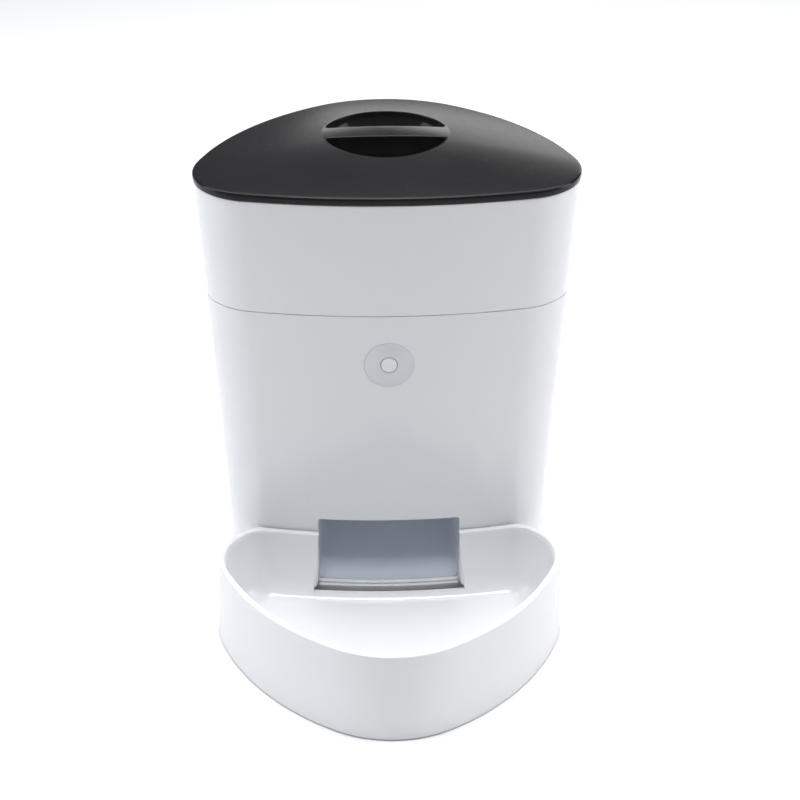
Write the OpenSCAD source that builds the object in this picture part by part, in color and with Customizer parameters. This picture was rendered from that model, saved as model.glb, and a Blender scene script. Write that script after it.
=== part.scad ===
// Automatic pet feeder: a tapered housing with a rounded-triangle plan, a lift-out food tank over it,
// a domed lid with a sunk grip, and a bowl with the same plan turned round, which sits against the front.
// Inside, a small motor and three gear stages turn a six-vane food wheel that drops portions down a chute.
// Millimetres. Z is up, the front faces -Y, and the origin is under the middle of the whole footprint.

/* [Body] */
// Width at the lid joint
body_w = 231.5; // [200:0.5:280]
// Depth at the lid joint
body_d = 158.5; // [150:0.5:195]
// Height of the tank's top edge above the floor
body_h = 286; // [240:1:345]
// Width at the floor
base_w = 202; // [190:1:244]
// Depth at the floor
base_d = 131; // [129:1:160]
// Height of the joint between housing and tank
split_z = 213.5; // [196:0.5:232]
// How far the front leans forward by the lid joint
lean = 6.8; // [0:0.1:9]
// Wall thickness of housing and tank
wall = 2.5; // [1.8:0.1:3.2]
// Height of the housing's lower edge above the floor
base_gap = 2.5; // [2:0.1:4]

/* [Plan curves, at the lid joint] */
// Radius of the bowed front
front_r = 414; // [300:1:600]
// Radius of the two front corners
corner_r = 38; // [34:0.1:50]
// Radius of the bowed sides
side_r = 160; // [150:1:260]
// Radius of the rounded rear
apex_r = 84; // [66:1:92]
// Radius of these curves at the floor, as a share of that at the lid joint
base_curve = 0.8726; // [0.8:0.0001:1]

/* [Lid] */
// Height of the lid's upright edge
lid_edge = 4.8; // [4:0.1:8]
// Rise of the dome above that edge
lid_dome = 7.5; // [4:0.1:14]
// Thickness of the lid
lid_t = 2.4; // [1.8:0.1:3]
// How far the lid's edge stands proud of the tank
lid_proud = 0.4; // [0:0.1:1]
// Radius of the sunk grip
grip_r = 38.3; // [32:0.1:42]
// Depth of the sunk grip under the top of the dome
grip_deep = 16; // [12:0.5:20]
// Width of the bar across the grip
grip_bar = 17; // [12:0.5:20]

/* [Bowl] */
// Width of the bowl at the floor
bowl_w = 219; // [200:1:262]
// How far the bowl reaches forward of the housing at the floor
bowl_reach = 138.5; // [114:0.5:168]
// Height of the rim
bowl_h = 56; // [48:1:67]
// How much narrower the rim is than the foot, on each side
bowl_draft = 2; // [0:0.1:6]
// How much shorter the rim is than the foot, at the front
bowl_rake = 8.2; // [0:0.1:10]
// Wall thickness of the bowl
bowl_t = 2.5; // [2:0.1:3]
// Width of the rim's flat top
rim_t = 4; // [3.5:0.1:6]
// Height of the solid band under the rim
rim_h = 9; // [7:0.5:12]
// Height of the bowl's floor
basin_z = 12; // [10:0.5:15]
// Clearance between bowl and housing
bowl_gap = 0.4; // [0.3:0.05:0.8]

/* [Mouth and chute] */
// Width of the mouth in the housing's front
mouth_w = 90; // [78:1:96]
// Height of the mouth's lower edge
mouth_z0 = 17; // [15:0.5:20]
// Height of the mouth's upper edge
mouth_z1 = 65; // [60:0.5:72]
// Width of the outlet in the wheel chamber's floor
outlet_w = 68; // [60:1:72]
// Thickness of the chute's sheet
chute_t = 1.8; // [1.5:0.1:2]

/* [Food wheel] */
// Distance of the wheel's axis behind the housing's front foot
wheel_y = 77; // [76:0.5:80]
// Inner radius of the wheel chamber
chamber_r = 50; // [44:0.5:51]
// Height of the wheel chamber
chamber_h = 36; // [34:0.5:42]
// Number of vanes
vanes = 6; // [5:1:8]
// Clearance between vane tips and chamber
vane_gap = 0.8; // [0.5:0.1:1.5]

/* [Drive] */
// Height of the underside of the deck that carries the drive
deck_z = 94; // [93:0.5:98]
// Thickness of the deck
deck_t = 3; // [2.5:0.1:3]
// Gear module
gear_m = 1; // [0.95:0.01:1]
// Teeth of the output gear
output_teeth = 45; // [42:3:45]
// Teeth of the pinion that drives the output gear
output_pinion_teeth = 15; // [14:1:15]
// Teeth of each reduction gear
wheel_teeth = 36; // [33:3:36]
// Teeth of each small pinion
pinion_teeth = 12; // [12:1:13]
// Backlash at the pitch circle
backlash = 0.24; // [0.15:0.01:0.35]
// Radius of the output shaft
shaft_r = 4; // [3:0.1:4.5]
// Diameter of the motor
motor_d = 24; // [20:0.5:24.4]

/* [Batteries] */
// Diameter of a backup cell
cell_d = 33; // [30:0.5:33.2]
// Length of a backup cell
cell_l = 61.5; // [50:0.5:62]

/* [Button] */
// Height of the button above the floor
button_z = 180; // [165:1:190]
// Radius of the disc round the button
bezel_r = 15.1; // [13:0.1:18]
// Radius of the button
button_r = 4.85; // [4:0.05:6]
// Travel of the button
button_travel = 1; // [0.5:0.1:1.2]

/* [Hidden] */
NODES = [
    "base_housing", "bottom_cover", "rubber_feet", "cover_screws", "battery_door", "door_screw",
    "backup_cells", "battery_contacts", "chute", "food_sensors", "drive_deck", "deck_screws",
    "gearbox_case", "gearbox_cover", "gearbox_screws", "idler_pins", "motor", "motor_pinion",
    "first_idler_gear", "second_idler_gear", "output_gear", "drive_coupling", "main_board",
    "radio_module", "board_parts", "board_screws", "power_inlet", "button_bezel", "feed_button",
    "button_board", "button_switch", "status_light", "tank", "chamber_floor", "floor_screws",
    "wheel_hub", "wheel_vanes", "stirrer", "wheel_screw", "outlet_shield", "lid", "lid_seal",
    "desiccant_box", "desiccant_cover", "desiccant_bag", "bowl", "bowl_pads"
];
node = "all";
$fn = 48;

WHITE = "#e9ebee";
BLACK = "#1d1d1f";
GREY = "#9a9da3";
STEEL = "#b9bcc0";
RUBBER = "#4a4b4e";
NATURAL = "#e4dfd0";
GREEN = "#2c6b45";
BLUE_GREY = "#a9b4c4";

fit = 0.4;                // clearance between pieces that lift off each other
fine_fit = 0.06;          // radial clearance of a shaft in its bore
eps = 0.01;

// ---- Plan curves: four tangent arcs a side, sampled in step with each other so that sections can be lofted.
arc_steps = [8, 12, 8, 8];

function mix(a, b, t) = a + (b - a) * t;
function arc(c, r, a0, a1, n) = [for (i = [0:n - 1]) c + r * [cos(mix(a0, a1, i / n)), sin(mix(a0, a1, i / n))]];

// From the middle of the front edge, round one corner, to the apex at [0, d].
function half_plan(w, d, rf, rc, rs, ra) =
    let (
        corner = [w / 2 - rc, rf - sqrt(pow(rf - rc, 2) - pow(w / 2 - rc, 2))],
        apex = [0, d - ra],
        gap = norm(corner - apex),
        u = (corner - apex) / gap,
        along = (pow(rs - ra, 2) - pow(rs - rc, 2) + gap * gap) / (2 * gap),
        across = sqrt(pow(rs - ra, 2) - along * along),
        side = apex + along * u + across * [u.y, -u.x],
        a1 = atan2(corner.y - rf, corner.x),
        a2 = atan2(corner.y - side.y, corner.x - side.x),
        a3 = atan2(apex.y - side.y, apex.x - side.x)
    )
    concat(
        arc([0, rf], rf, -90, a1, arc_steps[0]),
        arc(corner, rc, a1, a2, arc_steps[1]),
        arc(side, rs, a2, a3, arc_steps[2]),
        arc(apex, ra, a3, 90, arc_steps[3]),
        [[0, d]]
    );

function plan(w, d, rf, rc, rs, ra) =
    let (h = half_plan(w, d, rf, rc, rs, ra))
    concat(h, [for (i = [len(h) - 2:-1:1]) [-h[i].x, h[i].y]]);

half_n = arc_steps[0] + arc_steps[1] + arc_steps[2] + arc_steps[3];

// ---- The body's section at any height, inset by t (a negative t grows it).
function plan_w(z) = mix(base_w, body_w, z / body_h);
function plan_d(z) = mix(base_d, body_d, z / body_h);
function front_y(z) = -lean * z / body_h;
function rear_y(z) = plan_d(z) + front_y(z);
function section(z, t = 0) =
    let (k = mix(base_curve, 1, z / body_h))
    [for (p = plan(plan_w(z) - 2 * t, plan_d(z) - 2 * t, front_r * k - t, corner_r * k - t,
                   side_r * k - t, apex_r * k - t)) [p.x, p.y + t + front_y(z)]];
function at(z, points) = [for (p = points) [p.x, p.y, z]];

lean_angle = atan(lean / body_h);
mid_y = (bowl_reach - rear_y(body_h) - lid_proud) / 2;   // puts the origin under the middle of the footprint

// A solid through rings of equal count, lowest first, each running anticlockwise seen from above.
module loft(rings) {
    n = len(rings[0]);
    top = len(rings) - 1;
    sides = [for (i = [0:top - 1], j = [0:n - 1])
        let (a = i * n + j, b = i * n + (j + 1) % n)
        each [[a, a + n, b + n], [a, b + n, b]]];
    polyhedron(
        points = [for (r = rings) each r],
        faces = concat(sides, [[for (j = [0:n - 1]) j]], [[for (j = [n - 1:-1:0]) top * n + j]])
    );
}

// The body between two heights, inset by t. It has a ring of its own at each height where a flat face meets it.
module body_block(z0, z1, t = 0, between = [])
    loft([for (z = concat([z0], between, [z1])) at(z, section(z, t))]);

// A moulded shell is merged into one mesh, because its walls slope.
module moulded() resize([0, 0, 0]) children();

// A flat plate inside the housing. Its outline follows the housing's straight walls at its own lower face.
module body_plate(z, t, inset) {
    share = (z - base_gap) / (split_z - 0.3 - base_gap);
    low = section(base_gap, inset);
    high = section(split_z - 0.3, inset);
    translate([0, 0, z]) linear_extrude(t)
        polygon([for (i = [0:len(low) - 1]) mix(low[i], high[i], share)]);
}

// A point of the plan, inset from the wall, by its index along the outline; side -1 mirrors it.
function spot(z, inset, i, side) = let (p = section(z, inset)[i]) [side * p.x, p.y];

module screw(d, l, head_d, head_h) {
    difference() {
        cylinder(d = head_d, h = head_h, $fn = 24);
        for (a = [0, 90]) rotate(a) translate([-head_d * 0.3, -d * 0.12, head_h * 0.45])
            cube([head_d * 0.6, d * 0.24, head_h]);
    }
    translate([0, 0, -l]) cylinder(d = d, h = l + eps, $fn = 24);
}

// ---- Positions shared by several pieces.
deck_top = deck_z + deck_t;
floor_z = deck_top + 4;            // underside of the wheel chamber's floor
floor_t = 3;
wheel_z = floor_z + floor_t;       // top of that floor
chamber_top = wheel_z + chamber_h;
screw_d = 3;
boss_r = 4.6;
cover_t = 2.5;
cover_z = base_gap;
cover_top = cover_z + cover_t;
cover_bosses = [
    for (s = [-1, 1]) spot(cover_top, wall + 3.4, 10, s),
    for (s = [-1, 1]) spot(cover_top, wall + 3.4, 24, s),
    spot(cover_top, wall + 3.4, half_n, 1)
];
boss_h = 14;
ledge_w = 3.5;
deck_bosses = [for (i = [12, 22], s = [-1, 1]) spot(deck_z, wall + 3.4, i, s)];
foot_r = 8;
foot_h = base_gap + 0.8;
feet = [
    for (s = [-1, 1]) spot(cover_z, 19, 12, s),
    for (s = [-1, 1]) spot(cover_z, 15, 31, s)
];

// Bowl hooks enter slots low in the housing's front, outside the mouth.
hook_x = mouth_w / 2 + 13;
hook_w = 12;
hook_z = 8;
hook_h = 5;
hook_in = 6;

module at_hooks() for (s = [-1, 1]) translate([s * hook_x, 0, hook_z]) children();

// Button axis: square to the leaning front.
module at_button() translate([0, front_y(button_z), button_z]) rotate([90 + lean_angle, 0, 0]) children();
bezel_t = 1.4;
sleeve_r = button_r + 2.6;

inlet_w = 13;
inlet_h = 7.5;
inlet_z = 30;

// ---------------------------------------------------------------- housing
module base_housing() color(WHITE) moulded() difference() {
    union() {
        difference() {
            body_block(base_gap, split_z - 0.3);
            body_block(base_gap - 1, split_z + 1, wall, [base_gap, split_z - 0.3]);
        }
        // shelf that the deck rests on, left out behind the mouth where the chute comes forward
        difference() {
            body_block(deck_z - 3, deck_z, wall - 0.5);
            body_block(deck_z - 4, deck_z + 1, wall + ledge_w, [deck_z - 3, deck_z]);
            translate([-mouth_w / 2 - 8, -20, deck_z - 5]) cube([mouth_w + 16, 40, 10]);
        }
        intersection() {
            body_block(base_gap, split_z - 0.3, 0.5);
            union() {
                for (p = cover_bosses) translate([p.x, p.y, cover_top]) cylinder(r = boss_r, h = boss_h, $fn = 24);
                for (p = deck_bosses) translate([p.x, p.y, deck_z - boss_h])
                    cylinder(r = boss_r, h = boss_h, $fn = 24);
            }
        }
    }
    for (p = cover_bosses) translate([p.x, p.y, cover_top - 1]) cylinder(d = screw_d + 0.3, h = boss_h, $fn = 16);
    for (p = deck_bosses) translate([p.x, p.y, deck_z - boss_h + 2])
        cylinder(d = screw_d + 0.3, h = boss_h, $fn = 16);
    translate([-mouth_w / 2, -20, mouth_z0]) cube([mouth_w, 40, mouth_z1 - mouth_z0]);
    at_hooks() translate([-hook_w / 2 - fit, -10, -fit]) cube([hook_w + 2 * fit, 24, hook_h + 2 * fit]);
    at_button() {
        translate([0, 0, -bezel_t + 0.2]) cylinder(r = bezel_r + 0.15, h = 5, $fn = 64);
        translate([0, 0, -10]) cylinder(r = sleeve_r + 0.2, h = 20, $fn = 32);
    }
    translate([-inlet_w / 2 - 0.3, rear_y(inlet_z) - 12, inlet_z - inlet_h / 2 - 0.3])
        cube([inlet_w + 0.6, 24, inlet_h + 0.6]);
}

// ---------------------------------------------------------------- underside and batteries
cell_pitch = cell_d + 0.6;
bay_w = 3 * cell_pitch;
bay_l = cell_l + 4.5;
bay_y = 35;
bay_t = 2;
cell_z = cover_top + 0.6 + cell_d / 2;
bay_top = cell_z + cell_d / 2 + 0.8;
door_t = 1.6;
door_lip = 3;
door_gap = 0.3;

module bottom_cover() color(WHITE) difference() {
    union() {
        body_plate(cover_z, cover_t, wall + 0.3);
        translate([-bay_w / 2 - bay_t, bay_y - bay_t, cover_top - eps])
            cube([bay_w + 2 * bay_t, bay_l + 2 * bay_t, bay_top + bay_t - cover_top]);
    }
    translate([-bay_w / 2, bay_y, cover_z + door_t + door_gap])
        cube([bay_w, bay_l, bay_top - cover_z - door_t - door_gap]);
    translate([-bay_w / 2 + 2, bay_y + 2, cover_z - 1]) cube([bay_w - 4, bay_l - 4, 6]);
    translate([-bay_w / 2 - door_lip, bay_y - door_lip, cover_z - 1])
        cube([bay_w + 2 * door_lip, bay_l + 2 * door_lip, 1 + door_t + door_gap]);
    translate([0, bay_y + bay_l + door_lip + 3, cover_z - 1]) cylinder(r = 1.4, h = 6, $fn = 24);
    translate([0, bay_y + bay_l + door_lip + 3, cover_z - 1]) cylinder(r = 5.3, h = 1 + door_t + door_gap);
    for (p = cover_bosses) translate([p.x, p.y, cover_z - 1]) {
        cylinder(d = screw_d + 0.4, h = 6, $fn = 24);
        cylinder(d = 6.4, h = 1 + 1.2, $fn = 24);
    }
    for (p = feet) translate([p.x, p.y, cover_z - 1]) cylinder(r = foot_r + 0.15, h = 1 + foot_h - base_gap);
}

module rubber_feet() color(RUBBER) for (p = feet) translate([p.x, p.y, 0]) {
    cylinder(r = foot_r - 0.8, h = 0.8 + eps);
    translate([0, 0, 0.8]) cylinder(r = foot_r, h = foot_h - 0.8);
}

module cover_screws() color(STEEL) for (p = cover_bosses)
    translate([p.x, p.y, cover_z + 1.2]) mirror([0, 0, 1]) translate([0, 0, -0.0]) screw(screw_d, 10, 5.8, 1.1);

module battery_door() color(WHITE) difference() {
    union() {
        translate([-bay_w / 2 - door_lip + door_gap, bay_y - door_lip + door_gap, cover_z])
            cube([bay_w + 2 * (door_lip - door_gap), bay_l + 2 * (door_lip - door_gap), door_t]);
        translate([0, bay_y + bay_l + door_lip + 3, cover_z]) cylinder(r = 5, h = door_t);
    }
    translate([0, bay_y + bay_l + door_lip + 3, cover_z - 1]) cylinder(r = 1.6, h = 6, $fn = 24);
    for (i = [-2:2]) translate([-22, bay_y + bay_l - 12 + 3 * i, cover_z - 1]) cube([44, 1.2, 1.4]);
}

module door_screw() color(STEEL) translate([0, bay_y + bay_l + door_lip + 3, cover_z - 0.1])
    mirror([0, 0, 1]) screw(2.6, 4.2, 5, 0.9);

module backup_cells() for (i = [-1:1]) translate([i * cell_pitch, bay_y + 2, cell_z]) rotate([-90, 0, 0]) {
    color(GREY) cylinder(d = cell_d - 0.4, h = cell_l - 2);
    color(STEEL) translate([0, 0, cell_l - 2 - eps]) cylinder(d = 9.5, h = 1.6);
}

module battery_contacts() color(STEEL) for (i = [-1:1]) translate([i * cell_pitch, 0, cell_z]) {
    translate([-6, bay_y + 0.1, -8]) cube([12, 0.4, 16]);
    translate([-6, bay_y + bay_l - 0.6, -8]) cube([12, 0.4, 16]);
    translate([0, bay_y + 0.5, 0]) rotate([-90, 0, 0]) difference() {
        cylinder(r1 = 6, r2 = 4, h = 1.3);
        translate([0, 0, -1]) cylinder(r = 2.6, h = 4);
    }
}

// ---------------------------------------------------------------- chute
chute_front = wall + 0.3;
chute_top = deck_z - 0.4;
outlet_y0 = wheel_y - chamber_r + 4;
outlet_y1 = wheel_y - 17;
spout_t = 1.6;
spout_gap = 1;
flange_t = 2.4;

// The passage, grown by g: under the outlet at the top, the whole mouth at the front.
module chute_passage(g, over = 0) hull() {
    translate([-outlet_w / 2 - spout_t - spout_gap - g, outlet_y0 - spout_t - spout_gap - g, chute_top - 1])
        cube([outlet_w + 2 * (spout_t + spout_gap + g), outlet_y1 - outlet_y0 + 2 * (spout_t + spout_gap + g),
              1 + over]);
    translate([-mouth_w / 2 - g, chute_front - over, mouth_z0 - g])
        cube([mouth_w + 2 * g, 1 + over, mouth_z1 - mouth_z0 + 2 * g]);
}

module chute() color(BLUE_GREY) difference() {
    union() {
        intersection() {
            chute_passage(chute_t, chute_t);
            body_block(cover_top, deck_z - eps, chute_front);
        }
        translate([-outlet_w / 2 - 10, outlet_y0 - 6, chute_top - flange_t])
            cube([outlet_w + 20, outlet_y1 - outlet_y0 + 12, flange_t]);
    }
    chute_passage(0, 6);
    at_chute_screws() translate([0, 0, -20]) cylinder(d = screw_d + 0.4, h = 40, $fn = 24);
}

module at_chute_screws() for (s = [-1, 1]) translate([s * (outlet_w / 2 + 7), (outlet_y0 + outlet_y1) / 2, chute_top])
    children();

sensor = [5, 8, 10];
module food_sensors() color(BLACK) for (s = [-1, 1])
    translate([s * (mouth_w / 2 + chute_t + 0.3 + sensor[0] / 2) - sensor[0] / 2, chute_front + 5, mouth_z1 - 22])
        cube(sensor);

// ---------------------------------------------------------------- deck and drive
function polar(c, r, a) = c + r * [cos(a), sin(a)];
output_at = [0, wheel_y];
second_at = polar(output_at, gear_m * (output_teeth + output_pinion_teeth) / 2, 18);
first_at = polar(second_at, gear_m * (wheel_teeth + pinion_teeth) / 2, -12);
motor_at = polar(first_at, gear_m * (wheel_teeth + pinion_teeth) / 2, -50);

case_z = 48;
case_t = 2;
case_h = 26;
case_top = case_z + case_h;
output_z = case_z + 4;
output_face = 6;
middle_z = output_z + output_face + 1.5;
middle_face = 5;
first_z = middle_z + middle_face + 1.5;
first_face = 4.5;
pin_r = 1.5;

// Involute spur gear with stub teeth; a tooth is centred on angle 0.
pressure = 25;
function involute(rb, a) = [rb * (cos(a) + a * PI / 180 * sin(a)), rb * (sin(a) - a * PI / 180 * cos(a))];
function roll(rb, r) = r <= rb ? 0 : sqrt(pow(r / rb, 2) - 1) * 180 / PI;
function inv_angle(rb, r) = let (p = involute(rb, roll(rb, r))) atan2(p.y, p.x);
function tooth(n, m, slack) =
    let (
        rp = m * n / 2, rb = rp * cos(pressure), tip = rp + 0.8 * m, root = rp - 1.05 * m,
        half = 90 / n - slack / 2 / rp * 180 / PI,
        turn = half + inv_angle(rb, rp),
        low = max(rb, root + 0.05),
        flank = [for (r = [low, mix(low, tip, 0.5), tip]) let (a = inv_angle(rb, r) - turn) [r, a]]
    )
    concat([[root, -turn]], flank, [for (i = [2:-1:0]) [flank[i][0], -flank[i][1]]], [[root, turn]]);
function gear_points(n, m, slack) =
    [for (k = [0:n - 1]) for (q = tooth(n, m, slack)) let (a = q[1] + 360 * k / n) q[0] * [cos(a), sin(a)]];

module gear(n, h, turn = 0) rotate(turn) linear_extrude(h) polygon(gear_points(n, gear_m, backlash));

module drive_deck() color(WHITE) difference() {
    body_plate(deck_z, deck_t, wall + fit);
    translate([0, 0, deck_z - 1]) linear_extrude(deck_t + 2) outlet_shape(spout_t + spout_gap);
    translate([output_at.x, output_at.y, deck_z - 1]) cylinder(r = shaft_r + 1.5, h = deck_t + 2);
    for (p = concat(deck_bosses, hangers)) translate([p.x, p.y, deck_z - 1])
        cylinder(d = screw_d + 0.4, h = deck_t + 2, $fn = 24);
    at_chute_screws() translate([0, 0, -2]) cylinder(d = screw_d + 0.4, h = deck_t + 6, $fn = 24);
}

// The outlet: a slice of the chamber's floor in front of the hub.
module outlet_shape(g) intersection() {
    translate([-outlet_w / 2 - g, outlet_y0 - g]) square([outlet_w + 2 * g, outlet_y1 - outlet_y0 + 2 * g]);
    translate(output_at) circle(r = chamber_r - 3 + g);
}

module deck_screws() color(STEEL) {
    for (p = concat(deck_bosses, hangers)) translate([p.x, p.y, deck_top]) screw(screw_d, 11, 5.8, 1.6);
    at_chute_screws() translate([0, 0, deck_top - chute_top]) screw(screw_d, 7, 5.8, 1.6);
}

// The three posts by which the gearbox hangs from the deck.
hanger_r = 3.6;
hangers = [polar(output_at, 20, 200), polar(second_at, 17, 100), polar(first_at, 17, 20)];

module case_outline(g) hull() {
    translate(output_at) circle(r = gear_m * (output_teeth / 2 + 0.8) + g, $fn = 32);
    translate(second_at) circle(r = gear_m * (wheel_teeth / 2 + 0.8) + g, $fn = 32);
    translate(first_at) circle(r = gear_m * (wheel_teeth / 2 + 0.8) + g, $fn = 32);
    translate(motor_at) circle(r = motor_d / 2 + g - 0.6, $fn = 32);
}

case_inner = 0.7;
case_screws = [polar(output_at, 21.5, 205), polar(second_at, 16.5, 95), polar(motor_at, 9.3, -20)];

module gearbox_case() color(GREY) difference() {
    union() {
        difference() {
            translate([0, 0, case_z]) linear_extrude(case_h - case_t) case_outline(case_inner + 1.6);
            translate([0, 0, case_z + case_t]) linear_extrude(case_h) case_outline(case_inner);
        }
    }
    translate([output_at.x, output_at.y, case_z - 1]) cylinder(r = shaft_r + fine_fit, h = case_t + 2);
    for (p = [second_at, first_at]) translate([p.x, p.y, case_z - 1]) cylinder(r = pin_r + 0.02, h = case_t + 2);
    translate([motor_at.x, motor_at.y, case_z - 1]) cylinder(r = 3.6, h = case_t + 2);
}

module gearbox_cover() color(GREY) difference() {
    union() {
        translate([0, 0, case_top - case_t]) linear_extrude(case_t) case_outline(case_inner + 1.6);
        for (p = hangers) translate([p.x, p.y, case_top - eps])
            cylinder(r = hanger_r, h = deck_z - case_top + eps, $fn = 32);
    }
    for (p = hangers) translate([p.x, p.y, deck_z - 12]) cylinder(d = screw_d + 0.2, h = 20, $fn = 24);
    translate([output_at.x, output_at.y, case_top - case_t - 1]) cylinder(r = shaft_r + fine_fit, h = case_t + 2);
    for (p = [second_at, first_at]) translate([p.x, p.y, case_top - case_t - 1])
        cylinder(r = pin_r + 0.02, h = case_t + 2);
}

module gearbox_screws() color(STEEL) for (p = [second_at, first_at])
    translate([p.x, p.y, case_top]) difference() {
        cylinder(r = 3, h = 1.2, $fn = 24);
        translate([-2, -0.4, 0.6]) cube([4, 0.8, 1]);
    }

module idler_pins() color(STEEL) for (p = [second_at, first_at])
    translate([p.x, p.y, case_z]) cylinder(r = pin_r, h = case_h - 0.1);

module motor() color(STEEL) {
    translate([motor_at.x, motor_at.y, case_z - 30]) {
        cylinder(d = motor_d, h = 29.8);
        translate([0, 0, 29]) cylinder(r = 3.4, h = 2.4);
        translate([0, 0, 30]) cylinder(r = 1, h = first_z - case_z + first_face);
    }
}

module motor_pinion() color(NATURAL) translate([motor_at.x, motor_at.y, first_z]) difference() {
    gear(pinion_teeth, first_face, -50 + 180 + 180 / pinion_teeth);
    translate([0, 0, -1]) cylinder(r = 1 + fine_fit, h = first_face + 2, $fn = 32);
}

// A large gear with a small one under it, on a fixed pin.
module idler(large_z, large_face, large_turn, small_n, small_z, small_turn) difference() {
    union() {
        translate([0, 0, large_z]) gear(wheel_teeth, large_face, large_turn);
        translate([0, 0, small_z]) gear(small_n, large_z - small_z + eps, small_turn);
    }
    translate([0, 0, small_z - 1]) cylinder(r = pin_r + fine_fit, h = 40, $fn = 32);
}

module first_idler_gear() color(NATURAL) translate([first_at.x, first_at.y, 0])
    idler(first_z, first_face, -50, pinion_teeth, middle_z, -12 + 180 + 180 / pinion_teeth);

module second_idler_gear() color(NATURAL) translate([second_at.x, second_at.y, 0])
    idler(middle_z, middle_face, -12, output_pinion_teeth, output_z, 18 + 180 + 180 / output_pinion_teeth);

module output_gear() color(NATURAL) translate([output_at.x, output_at.y, 0]) {
    translate([0, 0, output_z]) gear(output_teeth, output_face, 18);
    translate([0, 0, case_z + 0.2]) cylinder(r = shaft_r, h = deck_top - case_z + 0.8);
}

coupling_r = 8;
coupling_h = 11;
module drive_coupling() color(BLACK) translate([output_at.x, output_at.y, deck_top + 1])
    cylinder(r = coupling_r, h = coupling_h, $fn = 6);

// ---------------------------------------------------------------- electronics
board_w = 66;
board_h = 40;
board_t = 1.6;
board_y = rear_y(deck_z) - wall - 20;
board_z = 50;

module main_board() color(GREEN) difference() {
    translate([-board_w / 2, board_y, board_z]) cube([board_w, board_t, board_h]);
    at_board_screws() translate([0, 0, -3]) cylinder(d = screw_d + 0.2, h = 8, $fn = 24);
}

module at_board_screws() for (s = [-1, 1]) translate([s * (board_w / 2 - 4), board_y + board_t, board_z + board_h - 4])
    rotate([-90, 0, 0]) children();

module radio_module() color(STEEL) translate([-9, board_y + board_t, board_z + 6]) cube([16, 2.8, 22]);

module board_parts() color(BLACK) {
    translate([12, board_y + board_t, board_z + 8]) cube([9, 1.4, 9]);
    translate([13, board_y + board_t, board_z + 24]) cube([14, 6, 8]);
    for (i = [0:2]) translate([-28 + 7.5 * i, board_y + board_t, board_z + 14]) rotate([-90, 0, 0])
        cylinder(r = 2.6, h = 7, $fn = 24);
}

module board_screws() color(STEEL) at_board_screws() translate([0, 0, 0]) screw(screw_d, 4, 5.4, 1.6);

module power_inlet() color(BLACK) {
    difference() {
        translate([-inlet_w / 2, rear_y(inlet_z) - 11, inlet_z - inlet_h / 2]) cube([inlet_w, 10.2, inlet_h]);
        translate([-4.7, rear_y(inlet_z) - 8, inlet_z - 1.6]) cube([9.4, 12, 3.2]);
    }
    translate([-3.4, rear_y(inlet_z) - 8 - eps, inlet_z - 0.4]) cube([6.8, 5.5, 0.8]);
}

// ---------------------------------------------------------------- button
module button_bezel() color(GREY) at_button() difference() {
    union() {
        translate([0, 0, -bezel_t + 0.25]) cylinder(r = bezel_r, h = bezel_t);
        translate([0, 0, -wall - 1.5]) cylinder(r = sleeve_r, h = wall + 1.5);
    }
    translate([0, 0, -10]) cylinder(r = button_r + 0.35, h = 20);
}

stem_back = wall + 2.2;
module feed_button() color(WHITE) at_button() {
    translate([0, 0, -wall]) cylinder(r = button_r, h = wall + 0.25);
    translate([0, 0, 0.25 - eps]) cylinder(r1 = button_r, r2 = button_r - 0.5, h = 0.35);
    translate([0, 0, -stem_back]) cylinder(r = 1.8, h = stem_back - wall + eps, $fn = 32);
}

switch_gap = 0.2;
switch_h = 3.5;
board_back = stem_back + button_travel + switch_gap + switch_h;
module button_switch() color(BLACK) at_button() {
    translate([-3, -3, -board_back]) cube([6, 6, switch_h]);
    translate([0, 0, -board_back + switch_h - eps]) cylinder(r = 1.6, h = 0.1, $fn = 24);
}

module button_board() color(GREEN) at_button() translate([-14, -11, -board_back - 1.2]) cube([28, 22, 1.2]);

module status_light() color("#dfe8f2") at_button() translate([0, -8.4, -board_back]) {
    cylinder(r = 1.5, h = 2.4, $fn = 24);
    translate([0, 0, 2.4 - eps]) cylinder(r1 = 1.5, r2 = 0.8, h = 0.8, $fn = 24);
}

// ---------------------------------------------------------------- tank
tank_t = 2;
skirt_in = wall + fit;
skirt_z = split_z - 6;
shoulder_z = skirt_z - 12;
tank_step = 13;            // how much the tank narrows all round below its skirt, which clears the button's board

function round_ring(outline, r) = [for (p = outline) let (v = p - output_at) output_at + r * v / norm(v)];

// The funnel from the skirt to the chamber, inset by t.
function funnel(t, low) = [
    at(low, round_ring(section(chamber_top), chamber_r + tank_t - t)),
    at(chamber_top, round_ring(section(chamber_top), chamber_r + tank_t - t)),
    at(shoulder_z, section(shoulder_z, skirt_in + tank_step + t)),
    at(skirt_z, section(skirt_z, skirt_in + t))
];

floor_lugs = [for (a = [-150, -30, 50, 130]) polar(output_at, chamber_r + tank_t + 3.4, a)];

module tank() color(WHITE) moulded() difference() {
    union() {
        body_block(split_z, body_h);
        loft(concat(funnel(0, wheel_z), [at(split_z + 1, section(split_z + 1, skirt_in))]));
        for (p = floor_lugs) translate([p.x, p.y, wheel_z]) cylinder(r = 4.4, h = 14, $fn = 24);
    }
    loft(concat(funnel(tank_t, wheel_z - 1), [
        at(split_z + 1, section(split_z + 1, skirt_in + tank_t)),
        at(split_z + 6, section(split_z + 6, wall)),
        at(body_h + 1, section(body_h + 1, wall))
    ]));
    for (p = floor_lugs) translate([p.x, p.y, wheel_z - 1]) cylinder(d = screw_d + 0.3, h = 12, $fn = 16);
}

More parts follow.
